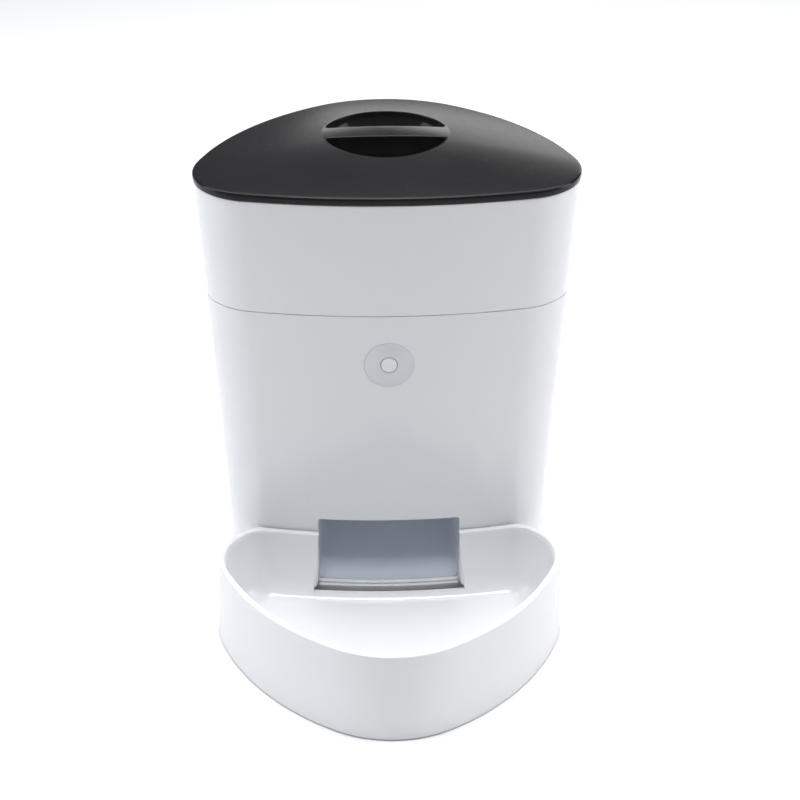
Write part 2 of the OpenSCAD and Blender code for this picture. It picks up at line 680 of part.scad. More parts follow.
module chamber_floor() color(WHITE) {
    difference() {
        union() {
            translate([output_at.x, output_at.y, floor_z]) cylinder(r = chamber_r + tank_t, h = floor_t);
            for (p = floor_lugs) translate([p.x, p.y, floor_z]) cylinder(r = 4.4, h = floor_t, $fn = 24);
        }
        translate([0, 0, floor_z - 1]) linear_extrude(floor_t + 2) outlet_shape(0);
        translate([output_at.x, output_at.y, floor_z - 1]) cylinder(r = coupling_r + 1.6, h = floor_t + 2);
        for (p = floor_lugs) translate([p.x, p.y, floor_z - 1]) cylinder(d = screw_d + 0.4, h = floor_t + 2, $fn = 24);
    }
    translate([0, 0, deck_z - 0.2]) linear_extrude(floor_z - deck_z + 0.2 + eps) difference() {
        outlet_shape(spout_t);
        outlet_shape(0);
    }
}

module floor_screws() color(STEEL) for (p = floor_lugs)
    translate([p.x, p.y, floor_z]) mirror([0, 0, 1]) screw(screw_d, 10, 5.4, 1.6);

// ---------------------------------------------------------------- food wheel
hub_r = 14;
wheel_gap = 0.6;
vane_z = wheel_z + wheel_gap;
shield_z = chamber_top - 4;
vane_h = shield_z - 1.2 - vane_z;
vane_t = 2.4;
spindle_r = 5;
stirrer_z = chamber_top + 1;

module wheel_hub() color(GREY) translate([output_at.x, output_at.y, 0]) difference() {
    union() {
        translate([0, 0, vane_z]) cylinder(r = hub_r, h = vane_h);
        translate([0, 0, vane_z + vane_h - eps]) cylinder(r = spindle_r, h = stirrer_z - vane_z - vane_h + 8);
    }
    translate([0, 0, wheel_z - 5]) cylinder(r = coupling_r + 0.3, h = deck_top + coupling_h + 2 - wheel_z + 5, $fn = 6);
    translate([0, 0, stirrer_z]) cylinder(d = screw_d - 0.4, h = 20, $fn = 24);
}

module wheel_vanes() color(BLUE_GREY) translate([output_at.x, output_at.y, vane_z]) difference() {
    union() {
        difference() {
            cylinder(r = hub_r + 2.2, h = vane_h);
            translate([0, 0, -1]) cylinder(r = hub_r + 0.02, h = vane_h + 2);
        }
        for (k = [0:vanes - 1]) rotate(360 * (k + 0.5) / vanes) translate([hub_r + 1.2, -vane_t / 2, 0])
            cube([chamber_r - vane_gap - hub_r - 1.2, vane_t, vane_h]);
    }
}

module stirrer() color(GREY) translate([output_at.x, output_at.y, stirrer_z]) difference() {
    union() {
        cylinder(r = spindle_r + 3, h = 7);
        for (a = [0, 180]) rotate(a) {
            translate([0, -3, 0]) cube([30, 6, 5]);
            translate([26, 0, 0]) cylinder(r = 3.6, h = 22, $fn = 32);
            translate([26, 0, 22]) sphere(r = 3.6, $fn = 32);
        }
    }
    translate([0, 0, -1]) cylinder(r = spindle_r + 0.02, h = 10);
}

module wheel_screw() color(STEEL) translate([output_at.x, output_at.y, stirrer_z + 8]) {
    cylinder(r = 6.4, h = 1, $fn = 32);
    translate([0, 0, 1 - eps]) screw(screw_d - 0.5, 6.9, 5.6, 1.8);
}

module outlet_shield() color(WHITE) translate([output_at.x, output_at.y, shield_z]) linear_extrude(2) difference() {
    intersection() {
        circle(r = chamber_r - 0.1);
        polygon(concat([[0, 0]], [for (a = [195:15:345]) 2 * chamber_r * [cos(a), sin(a)]]));
    }
    circle(r = spindle_r + 2);
}

// ---------------------------------------------------------------- lid
lid_z = body_h;
dome_z = lid_z + lid_edge;
lid_top = dome_z + lid_dome;
lid_mid = [0, front_y(body_h) + body_d / 2];
grip_y = lid_mid.y + 6;
lip_in = wall + 1;
lip_t = 2;
lip_down = 9;
groove_z = lid_z - lip_down + 2.5;

// A ring of the lid, its outline shrunk towards the middle to a share of its size.
function lid_ring(share, t, z) = at(z, [for (p = section(body_h, t)) lid_mid + share * (p - lid_mid)]);
dome_shares = [0.985, 0.94, 0.87, 0.78, 0.67, 0.54, 0.4, 0.25, 0.1];
function dome(t, z) = [for (s = dome_shares) lid_ring(s, t, z + lid_dome * (1 - pow(s / dome_shares[0], 2)))];

module lid_block() loft(concat(
    [lid_ring(0.996, -lid_proud, lid_z), lid_ring(1, -lid_proud, lid_z + 0.8),
     lid_ring(1, -lid_proud, dome_z - 1.6), lid_ring(0.995, -lid_proud, dome_z - 0.5)],
    dome(-lid_proud, dome_z)));

module lid_inside() loft(concat([lid_ring(1, lid_t, lid_z - 1), lid_ring(0.99, lid_t, dome_z - lid_t - 0.8)],
    dome(lid_t, dome_z - lid_t)));

// The grip's dished space, grown by g.
module grip_pan(g) translate([0, grip_y, 0]) rotate_extrude() polygon([
    [0, lid_top - grip_deep - g], [grip_r - 9, lid_top - grip_deep - g], [grip_r - 3 + g, lid_top - grip_deep + 5],
    [grip_r + g, lid_top + 2], [0, lid_top + 2]]);

// A slab across the grip, as wide as the bar less g on each side, with its underside at z.
module grip_slab(g, z) translate([-grip_r - 4, grip_y - grip_bar / 2 + g, z])
    cube([2 * grip_r + 8, grip_bar - 2 * g, lid_top - z + 2]);

// The dome, with the space under the grip filled down past its pan.
module lid_block_deep() {
    lid_block();
    translate([0, grip_y, lid_top - grip_deep - 10]) cylinder(r = grip_r + 4, h = grip_deep + 10 - lid_dome);
}

module lid() color(BLACK) moulded() {
    difference() {
        intersection() {
            lid_block_deep();
            union() {
                lid_shell();
                grip_pan(lid_t);
            }
        }
        difference() {
            grip_pan(0);
            grip_slab(0, lid_top - grip_deep - 10);
        }
        // the bar is hollow from below
        intersection() {
            translate([0, grip_y, lid_top - grip_deep - 10]) cylinder(r = grip_r - 10, h = grip_deep + 9 - lid_t);
            grip_slab(lid_t, lid_top - grip_deep - 10);
        }
    }
    difference() {
        lid_lip(0, lip_t, lid_z - lip_down, lid_z + lid_edge - lid_t, [groove_z, groove_z + 3, lid_z]);
        lid_lip(-1, 0.8, groove_z, groove_z + 3);
    }
}

module lid_shell() difference() {
    lid_block();
    lid_inside();
}

// A hoop inside the tank's mouth, from inset a to inset b beyond the lip's outer face. It follows the slope of
// the tank's wall up to the lid joint.
function lip_ring(z, t) = at(z, section(min(z, lid_z), lip_in + t));
module lid_lip(a, b, z0, z1, between = []) difference() {
    loft([for (z = concat([z0], between, [z1])) lip_ring(z, a)]);
    loft([for (z = concat([z0 - 1, z0], between, [z1, z1 + 1])) lip_ring(z, b)]);
}

module lid_seal() color(GREY) moulded()
    lid_lip(-0.3, 0.75, groove_z + 0.1, groove_z + 2.9);

box_r = 26;
box_h = 14;
box_z = lid_top - grip_deep - lid_t - box_h;
module desiccant_box() color(WHITE) translate([0, grip_y, box_z]) difference() {
    cylinder(r = box_r, h = box_h - 0.05);
    translate([0, 0, -1]) cylinder(r = box_r - 1.6, h = box_h - 1);
}

module desiccant_cover() color(GREY) translate([0, grip_y, box_z]) difference() {
    union() {
        translate([0, 0, -2.2]) cylinder(r = box_r, h = 2);
        translate([0, 0, -0.3]) difference() {
            cylinder(r = box_r - 1.9, h = 4);
            translate([0, 0, -1]) cylinder(r = box_r - 3.4, h = 6);
        }
    }
    for (i = [-3:3]) translate([-14, 5.6 * i - 1.2, -3]) cube([28, 2.4, 4]);
}

module desiccant_bag() color("#f2f2ee") translate([-15, grip_y - 13, box_z + 4.4]) cube([30, 26, 7]);

// ---------------------------------------------------------------- bowl
bowl_back = 13;            // how far the bowl's outline runs into the housing before it is cut to the front
bowl_corner_r = 37;
bowl_side_r = 163;
bowl_apex_r = 70;
bowl_front_r = 900;
bowl_z0 = 0.8;

// The bowl's outline at a height, inset by t, with its apex towards the front.
function bowl_section(z, t) =
    let (
        k = z / bowl_h,
        w = bowl_w - 2 * bowl_draft * k - 2 * t,
        d = bowl_reach - bowl_rake * k + bowl_back - 2 * t,
        pts = plan(w, d, bowl_front_r, bowl_corner_r - t, bowl_side_r - t, bowl_apex_r - t)
    )
    [for (p = pts) [-p.x, bowl_back - t - p.y]];
module bowl_block(z0, z1, t, between = [])
    loft([for (z = concat([z0], between, [z1])) at(z, bowl_section(z, t))]);

// The food space, grown by g: steep near the rim, rounded into the floor.
basin_steps = [[1, 0], [0.55, 5], [0.25, 9], [0.1, 13.5], [0.03, 18], [0, 23]];
module basin(g, top) loft(concat(
    [for (i = [len(basin_steps) - 1:-1:0])
        let (s = basin_steps[i], z = mix(basin_z, bowl_h, s[0]) - g) at(z, bowl_section(bowl_h, rim_t + s[1] - g))],
    [at(top, bowl_section(bowl_h, rim_t - g))]));

pad_r = 6;
pad_h = 1.2;
pads = [[0, -bowl_reach + 34], [-bowl_w / 2 + 36, -26], [bowl_w / 2 - 36, -26]];

module bowl() color(WHITE) moulded() difference() {
    union() {
        difference() {
            bowl_block(bowl_z0, bowl_h, 0);
            difference() {
                bowl_block(bowl_z0 - 1, bowl_h - rim_h, bowl_t, [bowl_z0]);
                body_block(-2, bowl_h + 2, -bowl_gap - bowl_t, [bowl_z0, bowl_h - rim_h]);
                basin(bowl_t, bowl_h);
                for (p = pads) translate([p.x, p.y, pad_h]) cylinder(r = pad_r + 1, h = basin_z, $fn = 24);
            }
        }
        at_hooks() translate([-hook_w / 2, -bowl_gap - bowl_t - 1, 0]) cube([hook_w, 14, hook_h]);
    }
    difference() {
        basin(0, bowl_h + 2);
        body_block(-2, bowl_h + 4, -bowl_gap - rim_t, [bowl_h]);
    }
    difference() {
        body_block(-2, bowl_h + 4, -bowl_gap, [0, bowl_z0, hook_h, bowl_h]);
        at_hooks() translate([-hook_w / 2, -2, 0]) cube([hook_w, 2 + hook_in + 4, hook_h]);
    }
    translate([-mouth_w / 2, -rim_t - 16, mouth_z0 - 1.5]) cube([mouth_w, 60, bowl_h]);
    for (p = pads) translate([p.x, p.y, -1]) cylinder(r = pad_r + 0.1, h = 1 + pad_h + 0.05, $fn = 24);
    translate([-bowl_w, hook_in, 0]) cube([2 * bowl_w, 60, bowl_h + 2]);
}

module bowl_pads() color(RUBBER) for (p = pads) translate([p.x, p.y, 0]) cylinder(r = pad_r, h = pad_h);

// ---------------------------------------------------------------- the assembly
module placed() translate([0, mid_y, 0]) children();
function shown(name) = node == "all" || node == name;
if (shown("base_housing")) placed() base_housing();
if (shown("bottom_cover")) placed() bottom_cover();
if (shown("rubber_feet")) placed() rubber_feet();
if (shown("cover_screws")) placed() cover_screws();
if (shown("battery_door")) placed() battery_door();
if (shown("door_screw")) placed() door_screw();
if (shown("backup_cells")) placed() backup_cells();
if (shown("battery_contacts")) placed() battery_contacts();
if (shown("chute")) placed() chute();
if (shown("food_sensors")) placed() food_sensors();
if (shown("drive_deck")) placed() drive_deck();
if (shown("deck_screws")) placed() deck_screws();
if (shown("gearbox_case")) placed() gearbox_case();
if (shown("gearbox_cover")) placed() gearbox_cover();
if (shown("gearbox_screws")) placed() gearbox_screws();
if (shown("idler_pins")) placed() idler_pins();
if (shown("motor")) placed() motor();
if (shown("motor_pinion")) placed() motor_pinion();
if (shown("first_idler_gear")) placed() first_idler_gear();
if (shown("second_idler_gear")) placed() second_idler_gear();
if (shown("output_gear")) placed() output_gear();
if (shown("drive_coupling")) placed() drive_coupling();
if (shown("main_board")) placed() main_board();
if (shown("radio_module")) placed() radio_module();
if (shown("board_parts")) placed() board_parts();
if (shown("board_screws")) placed() board_screws();
if (shown("power_inlet")) placed() power_inlet();
if (shown("button_bezel")) placed() button_bezel();
if (shown("feed_button")) placed() feed_button();
if (shown("button_board")) placed() button_board();
if (shown("button_switch")) placed() button_switch();
if (shown("status_light")) placed() status_light();
if (shown("tank")) placed() tank();
if (shown("chamber_floor")) placed() chamber_floor();
if (shown("floor_screws")) placed() floor_screws();
if (shown("wheel_hub")) placed() wheel_hub();
if (shown("wheel_vanes")) placed() wheel_vanes();
if (shown("stirrer")) placed() stirrer();
if (shown("wheel_screw")) placed() wheel_screw();
if (shown("outlet_shield")) placed() outlet_shield();
if (shown("lid")) placed() lid();
if (shown("lid_seal")) placed() lid_seal();
if (shown("desiccant_box")) placed() desiccant_box();
if (shown("desiccant_cover")) placed() desiccant_cover();
if (shown("desiccant_bag")) placed() desiccant_bag();
if (shown("bowl")) placed() bowl();
if (shown("bowl_pads")) placed() bowl_pads();
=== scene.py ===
import math

import bmesh
import bpy
import numpy as np
from mathutils import Matrix, Vector


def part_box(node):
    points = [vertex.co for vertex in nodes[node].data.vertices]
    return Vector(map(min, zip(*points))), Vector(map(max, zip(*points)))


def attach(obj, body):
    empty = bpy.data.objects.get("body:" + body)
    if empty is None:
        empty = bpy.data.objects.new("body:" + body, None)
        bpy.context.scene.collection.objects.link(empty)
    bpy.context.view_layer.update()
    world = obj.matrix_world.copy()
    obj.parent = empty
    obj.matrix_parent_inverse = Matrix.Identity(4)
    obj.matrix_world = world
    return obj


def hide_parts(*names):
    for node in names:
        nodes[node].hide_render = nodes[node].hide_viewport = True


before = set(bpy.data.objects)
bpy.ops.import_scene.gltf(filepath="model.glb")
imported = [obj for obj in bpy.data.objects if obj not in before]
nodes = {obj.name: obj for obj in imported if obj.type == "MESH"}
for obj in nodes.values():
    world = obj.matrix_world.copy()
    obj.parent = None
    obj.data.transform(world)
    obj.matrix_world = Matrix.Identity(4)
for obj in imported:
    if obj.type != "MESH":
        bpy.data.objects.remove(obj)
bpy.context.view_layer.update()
scene = bpy.context.scene

# ---------------------------------------------------------------- camera
# A long lens about 1.2 metres away, raised to look down at about thirty degrees and standing slightly to the
# left. Its small sideways shift sets the feeder a little left of the middle.
camera_data = bpy.data.cameras.new("camera")
camera_data.sensor_width = 36
camera_data.lens = 84.7
camera_data.shift_x = 0.0139
camera = bpy.data.objects.new("camera", camera_data)
camera.location = (-0.025, -1.0065, 0.7329)
camera.rotation_euler = (math.pi / 2 - 0.5254, 0, -0.025)
scene.collection.objects.link(camera)
scene.camera = camera

# ---------------------------------------------------------------- studio
# A pale seamless floor under five soft boxes: a wide one overhead, one far behind that draws the sheen on the
# lid, one on each side, and a small one above the front that lights the bowl.
scene.view_settings.view_transform = "Standard"
world = bpy.data.worlds.new("studio")
scene.world = world
world.use_nodes = True
world.node_tree.nodes["Background"].inputs["Color"].default_value = (0.93, 0.95, 1.0, 1)
world.node_tree.nodes["Background"].inputs["Strength"].default_value = 0.12


def soft_box(name, place, aim, width, height, watts, spread=180, colour=(1, 1, 1)):
    """A rectangular area light at place, turned towards aim, its beam limited to spread degrees."""
    data = bpy.data.lights.new(name, "AREA")
    data.shape = "RECTANGLE"
    data.size, data.size_y = width, height
    data.energy = watts
    data.color = colour
    data.spread = math.radians(spread)
    light = bpy.data.objects.new(name, data)
    light.location = place
    light.rotation_euler = (Vector(aim) - Vector(place)).to_track_quat("-Z", "Y").to_euler()
    scene.collection.objects.link(light)


soft_box("overhead", (0, 0.55, 1.9), (0, 0.5, 0), 2.6, 1.2, 30, 140)
soft_box("rear_box", (0.8, 2.6, 0.9), (0, 0.6, 0), 2.2, 0.6, 7, 150)
soft_box("left_box", (-1.3, 0.0, 0.6), (0, 0, 0.15), 0.6, 1.2, 6.5, colour=(0.95, 0.98, 1.0))
soft_box("right_box", (1.3, 0.0, 0.6), (0, 0, 0.15), 0.5, 1.2, 6.5)
soft_box("front_box", (0, -0.38, 1.5), (0, -0.12, 0.0), 0.7, 0.3, 2.3, 90)

bpy.ops.mesh.primitive_plane_add(size=12)
floor = bpy.context.object
floor.name = "floor"


class Field:
    """The value of a socket, so that shader maths reads as plain expressions."""

    def __init__(self, socket):
        self.socket = socket

    def maths(self, operation, *values):
        node = self.socket.id_data.nodes.new("ShaderNodeMath")
        node.operation = operation
        for slot, value in zip(node.inputs, values):
            if isinstance(value, Field):
                self.socket.id_data.links.new(value.socket, slot)
            else:
                slot.default_value = value
        return Field(node.outputs[0])

    def __add__(self, other):
        return self.maths("ADD", self, other)

    def __radd__(self, other):
        return self.maths("ADD", other, self)

    def __sub__(self, other):
        return self.maths("SUBTRACT", self, other)

    def __rsub__(self, other):
        return self.maths("SUBTRACT", other, self)

    def __mul__(self, other):
        return self.maths("MULTIPLY", self, other)

    def __rmul__(self, other):
        return self.maths("MULTIPLY", other, self)

    def clamped(self):
        return self.maths("MAXIMUM", self.maths("MINIMUM", self, 1.0), 0.0)


class Finish:
    """A surface finish built on one Principled shader, in object coordinates."""

    def __init__(self, name, roughness=0.4, **constants):
        self.material = bpy.data.materials.new(name)
        self.material.use_nodes = True
        self.tree = self.material.node_tree
        self.shader = self.tree.nodes["Principled BSDF"]
        self.shader.inputs["Roughness"].default_value = roughness
        for label, value in constants.items():
            self.shader.inputs[label.replace("_", " ")].default_value = value
        self.place = self.node("ShaderNodeTexCoord").outputs["Object"]

    def node(self, kind, settings=(), **values):
        """A node of this kind, with its settings made first and then its sockets' values or links."""
        made = self.tree.nodes.new(kind)
        for label, value in dict(settings).items():
            setattr(made, label, value)
        for label, value in values.items():
            slot = made.inputs[label.replace("_", " ")]
            self.feed(slot, value)
        return made

    def feed(self, slot, value):
        if isinstance(value, Field):
            value = value.socket
        if isinstance(value, bpy.types.NodeSocket):
            self.tree.links.new(value, slot)
        else:
            slot.default_value = value

    def noise(self, scale, detail=2.0, roughness=0.5):
        """Soft noise between 0 and 1, scale being features to the metre."""
        made = self.node("ShaderNodeTexNoise", Vector=self.place, Scale=scale, Detail=detail,
                         Roughness=roughness)
        return Field(made.outputs["Factor"] if "Factor" in made.outputs else made.outputs["Fac"])

    def axis(self, label):
        """One coordinate of the place on the object, in metres."""
        return Field(self.node("ShaderNodeSeparateXYZ", Vector=self.place).outputs[label])

    def distance(self, point):
        """How far the place on the object is from a point, in metres."""
        made = self.node("ShaderNodeVectorMath", {"operation": "DISTANCE"})
        self.feed(made.inputs[0], self.place)
        made.inputs[1].default_value = point
        return Field(made.outputs["Value"])

    def blend(self, fraction, low, high):
        """A colour between low and high."""
        made = self.node("ShaderNodeMix", {"data_type": "RGBA"})
        self.feed(made.inputs["Factor"], fraction)
        self.feed(made.inputs[6], low)
        self.feed(made.inputs[7], high)
        return made.outputs[2]

    def paint(self, colour):
        self.feed(self.shader.inputs["Base Color"], colour)

    def mottled(self, low, high, scale, detail=2.0):
        """A colour that drifts between low and high."""
        self.paint(self.blend(self.noise(scale, detail), low, high))

    def polish(self, roughness):
        self.feed(self.shader.inputs["Roughness"], roughness)

    def relief(self, height, depth):
        """Fine relief, its height field given as a fraction of depth in metres."""
        bump = self.node("ShaderNodeBump", Height=height, Distance=depth, Strength=1.0)
        self.feed(self.shader.inputs["Normal"], bump.outputs["Normal"])


def rgb(red, green, blue):
    return (red, green, blue, 1.0)


sweep = Finish("studio_floor", roughness=0.75, Specular_IOR_Level=0.2)
sweep.mottled(rgb(0.90, 0.905, 0.915), rgb(0.92, 0.92, 0.93), 3.0)
floor.data.materials.append(sweep.material)

# ---------------------------------------------------------------- housing shell
# The tall white lower body: one glossy ABS moulding with a rounded-triangle plan that widens upwards.
# Its front holds the chute's mouth and a shallow round seat for the button, and its rear the power socket.
mm = 0.001
body_w, body_d, body_h = 231.5 * mm, 158.5 * mm, 286 * mm
base_w, base_d, base_gap = 202 * mm, 131 * mm, 2.5 * mm
base_curve = 0.8726
split_z, split_gap = 213.5 * mm, 0.3 * mm
lean = 6.8 * mm
wall = 2.5 * mm
front_r, corner_r, side_r, apex_r = 414 * mm, 38 * mm, 160 * mm, 84 * mm
foot_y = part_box("tank")[0].y + lean


def arc(centre, radius, start, end, count):
    turn = start + (end - start) * np.arange(count) / count
    return np.stack([centre[0] + radius * np.cos(turn), centre[1] + radius * np.sin(turn)], 1)


def plan(width, depth, front, corner, side, apex):
    """A rounded triangle of four tangent arcs a side, anticlockwise from the middle of its front edge."""
    near_x = width / 2 - corner
    near = np.array([near_x, front - math.sqrt((front - corner) ** 2 - near_x**2)])
    far = np.array([0, depth - apex])
    gap = np.linalg.norm(near - far)
    along = ((side - apex) ** 2 - (side - corner) ** 2 + gap**2) / (2 * gap)
    across = math.sqrt((side - apex) ** 2 - along**2)
    u = (near - far) / gap
    middle = far + along * u + across * np.array([u[1], -u[0]])
    a1 = math.atan2(near[1] - front, near[0])
    a2 = math.atan2(near[1] - middle[1], near[0] - middle[0])
    a3 = math.atan2(far[1] - middle[1], far[0] - middle[0])
    half = np.vstack([
        arc((0, front), front, -math.pi / 2, a1, 36),
        arc(near, corner, a1, a2, 44),
        arc(middle, side, a2, a3, 32),
        arc(far, apex, a3, math.pi / 2, 32),
        [[0, depth]],
    ])
    return np.vstack([half, half[-2:0:-1] * (-1, 1)])


def share_up(z):
    return z / body_h


def front_y(z):
    return foot_y - lean * share_up(z)


def section(z, inset=0.0):
    """The body's outline at height z, moved in by inset."""
    width = base_w + (body_w - base_w) * share_up(z)
    depth = base_d + (body_d - base_d) * share_up(z)
    k = base_curve + (1 - base_curve) * share_up(z)
    points = plan(width - 2 * inset, depth - 2 * inset, front_r * k - inset, corner_r * k - inset,
                  side_r * k - inset, apex_r * k - inset)
    return points + (0, inset + front_y(z))


def level(outline, z):
    return np.column_stack([outline, np.full(len(outline), z)])


def rounded(profile, radii, steps=5):
    """A closed profile of (inset, z) corners with each corner turned into an arc of its own radius."""
    points = np.array(profile, float)
    out = []
    for i, radius in enumerate(radii):
        here, back, ahead = points[i], points[i - 1], points[(i + 1) % len(points)]
        u, v = back - here, ahead - here
        u, v = u / np.linalg.norm(u), v / np.linalg.norm(v)
        half = math.acos(np.clip(np.dot(u, v), -1, 1)) / 2
        if radius == 0 or half > 1.5:
            out.append(here)
            continue
        reach = radius / math.tan(half)
        centre = here + (u + v) / np.linalg.norm(u + v) * radius / math.sin(half)
        a, b = here + u * reach - centre, here + v * reach - centre
        total = math.pi - 2 * half
        for k in range(steps + 1):
            t = k / steps * total
            out.append(centre + (a * math.sin(total - t) + b * math.sin(t)) / math.sin(total))
    return out


def as_object(name, mesh):
    made = bpy.data.objects.new(name, mesh)
    scene.collection.objects.link(made)
    return made


def loft(name, rings, ends="capped"):
    """A closed skin through rings of equal count, with its ends capped, or joined when looped."""
    rings = [np.asarray(r) for r in rings]
    count = len(rings[0])
    body = bmesh.new()
    rows = [[body.verts.new(p) for p in r] for r in rings]
    pairs = list(zip(rows, rows[1:]))
    if ends == "looped":
        pairs.append((rows[-1], rows[0]))
    for low, high in pairs:
        for j in range(count):
            k = (j + 1) % count
            body.faces.new((low[j], low[k], high[k], high[j]))
    if ends == "capped":
        body.faces.new(rows[0][::-1])
        body.faces.new(rows[-1])
    bmesh.ops.recalc_face_normals(body, faces=body.faces)
    mesh = bpy.data.meshes.new(name)
    body.to_mesh(mesh)
    body.free()
    return as_object(name, mesh)


def lathe(name, profile, place, steps=96):
    """A closed turned solid from (radius, height) points that end on the axis, or loop clear of it."""
    place = Matrix(place)
    on_axis = profile[0][0] < 1e-9
    inner = profile[1:-1] if on_axis else profile
    turn = np.arange(steps) * 2 * math.pi / steps
    body = bmesh.new()
    rows = [[body.verts.new(place @ Vector((r * math.cos(t), r * math.sin(t), h))) for t in turn]
            for r, h in inner]
    pairs = list(zip(rows, rows[1:])) if on_axis else list(zip(rows, rows[1:] + rows[:1]))
    for low, high in pairs:
        for j in range(steps):
            k = (j + 1) % steps
            body.faces.new((low[j], low[k], high[k], high[j]))
    if on_axis:
        for row, (r, h) in ((rows[0], profile[0]), (rows[-1], profile[-1])):
            tip = body.verts.new(place @ Vector((0, 0, h)))
            for j in range(steps):
                body.faces.new((row[j], row[(j + 1) % steps], tip))
    bmesh.ops.recalc_face_normals(body, faces=body.faces)
    mesh = bpy.data.meshes.new(name)
    body.to_mesh(mesh)
    body.free()
    return as_object(name, mesh)


def block(name, low, high, place=Matrix()):
    corners = [Vector((x, y, z)) for z in (low[2], high[2]) for x, y in
               ((low[0], low[1]), (high[0], low[1]), (high[0], high[1]), (low[0], high[1]))]
    rings = [[place @ c for c in corners[:4]], [place @ c for c in corners[4:]]]
    return loft(name, rings)


def worked(piece, operation, tools):
    """The piece with each tool cut away from it, joined to it or kept in common with it."""
    for tool in tools:
        step = piece.modifiers.new("work", "BOOLEAN")
        step.operation = operation
        step.solver = "MANIFOLD"
        step.object = tool
    done = bpy.data.meshes.new_from_object(piece.evaluated_get(bpy.context.evaluated_depsgraph_get()))
    piece.modifiers.clear()
    old = piece.data
    piece.data = done
    bpy.data.meshes.remove(old)
    for tool in tools:
        bpy.data.objects.remove(tool)
    return piece


def smooth(piece, angle=32):
    """Rounds the shading over every edge flatter than angle."""
    shell = bmesh.new()
    shell.from_mesh(piece.data)
    bmesh.ops.remove_doubles(shell, verts=shell.verts, dist=1e-6)
    bmesh.ops.dissolve_degenerate(shell, edges=shell.edges, dist=1e-6)
    shell.to_mesh(piece.data)
    shell.free()
    piece.data.shade_smooth()
    piece.data.set_sharp_from_angle(angle=math.radians(angle))


def finished(piece, finish, body, slot, *cad):
    """Paints a piece, fixes it to its body and lets it stand for its CAD nodes."""
    piece.data.materials.clear()
    piece.data.materials.append(finish.material)
    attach(piece, body)
    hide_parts(*cad)


def rounded_box(half_w, half_h, radius, steps=6, along=16):
    """The outline of a rectangle with round corners, anticlockwise, about its own middle."""
    corners = [np.array([sx * (half_w - radius), sy * (half_h - radius)])
               for sx, sy in ((1, 1), (-1, 1), (-1, -1), (1, -1))]
    out = []
    for i, centre in enumerate(corners):
        for k in range(steps + 1):
            t = math.pi / 2 * (i + k / steps)
            out.append(centre + radius * np.array([math.cos(t), math.sin(t)]))
        t = math.pi / 2 * (i + 1)
        end = corners[(i + 1) % 4] + radius * np.array([math.cos(t), math.sin(t)])
        out += [out[-1] + (end - out[-1]) * k / along for k in range(1, along)]
    return np.array(out)


def front_surface(x, z):
    """The y of the housing's bowed front at x, z."""
    bow = front_r * (base_curve + (1 - base_curve) * share_up(z))
    return front_y(z) + bow - np.sqrt(bow**2 - x**2)


def flared(radius, through, first=10):
    """(spread, depth) pairs of a hole whose mouth is rounded off by radius, from just outside the surface."""
    out = [(radius * (1 - math.sin(math.radians(first))), -6 * mm)]
    for degrees in range(first, 91, 10):
        a = math.radians(degrees)
        out.append((radius * (1 - math.sin(a)), radius * (1 - math.cos(a))))
    return out + [(0.0, through)]


mouth_w, mouth_z0, mouth_z1 = 90 * mm, 17 * mm, 65 * mm
mouth_middle = (mouth_z0 + mouth_z1) / 2


def mouth_ring(spread, depth):
    outline = rounded_box(mouth_w / 2 + spread, (mouth_z1 - mouth_z0) / 2 + spread, 1.6 * mm + spread)
    x, z = outline[:, 0], outline[:, 1] + mouth_middle
    return np.column_stack([x, front_surface(x, z) + depth, z])


def button_place(z):
    """The frame of the button: its Z axis points out of the leaning front, at height z."""
    tilt = math.atan(lean / body_h)
    return Matrix.Translation((0, front_y(z), z)) @ Matrix.Rotation(math.pi / 2 + tilt, 4, "X")


hook_x, hook_w, hook_low, hook_high = 58 * mm, 12 * mm, 8 * mm, 13 * mm


def hook_block(side, near, far, play=0.0):
    """The space of one bowl hook from near to far behind the front's foot, widened by play."""
    x, half = side * hook_x, hook_w / 2 + play
    return block("hook", (x - half, foot_y + near, hook_low - play), (x + half, foot_y + far, hook_high + play))


button_z, bezel_r, button_r = 180 * mm, 15.1 * mm, 4.85 * mm
sleeve_r = button_r + 2.8 * mm
seat = button_place(button_z)
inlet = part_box("power_inlet")
shell_profile = rounded(
    [(0, base_gap), (0, split_z - split_gap), (wall, split_z - split_gap), (wall, base_gap)],
    [1.2 * mm, 0.55 * mm, 0.4 * mm, 0.3 * mm])
housing = loft("housing_shell", [level(section(z, t), z) for t, z in shell_profile], "looped")
worked(housing, "DIFFERENCE", [
    loft("mouth_tool", [mouth_ring(s, d) for s, d in flared(1.0 * mm, 9 * mm)]),
    lathe("seat_tool", [(0, -1.15 * mm), (bezel_r + 0.12 * mm, -1.15 * mm), (bezel_r + 0.12 * mm, 0.0),
                        (bezel_r + 0.5 * mm, 1.6 * mm), (0, 1.6 * mm)], seat),
    lathe("sleeve_tool", [(0, -9 * mm), (sleeve_r, -9 * mm), (sleeve_r, 3 * mm), (0, 3 * mm)], seat),
    block("socket_tool", (inlet[0].x - 0.3 * mm, inlet[1].y - 6 * mm, inlet[0].z - 0.3 * mm),
          (inlet[1].x + 0.3 * mm, inlet[1].y + 12 * mm, inlet[1].z + 0.3 * mm)),
    hook_block(-1, -10 * mm, 14 * mm, 0.4 * mm),
    hook_block(1, -10 * mm, 14 * mm, 0.4 * mm),
])
smooth(housing)

gloss_white = Finish("gloss_white_abs", roughness=0.12, IOR=1.5)
patches = gloss_white.noise(9.0, 3.0)
gloss_white.paint(gloss_white.blend(patches, rgb(0.80, 0.815, 0.84), rgb(0.83, 0.84, 0.86)))
gloss_white.polish(0.10 + 0.05 * gloss_white.noise(60.0, 3.0))
gloss_white.relief(gloss_white.noise(420.0, 1.0), 0.000004)
finished(housing, gloss_white, "housing", "white_shell", "base_housing")

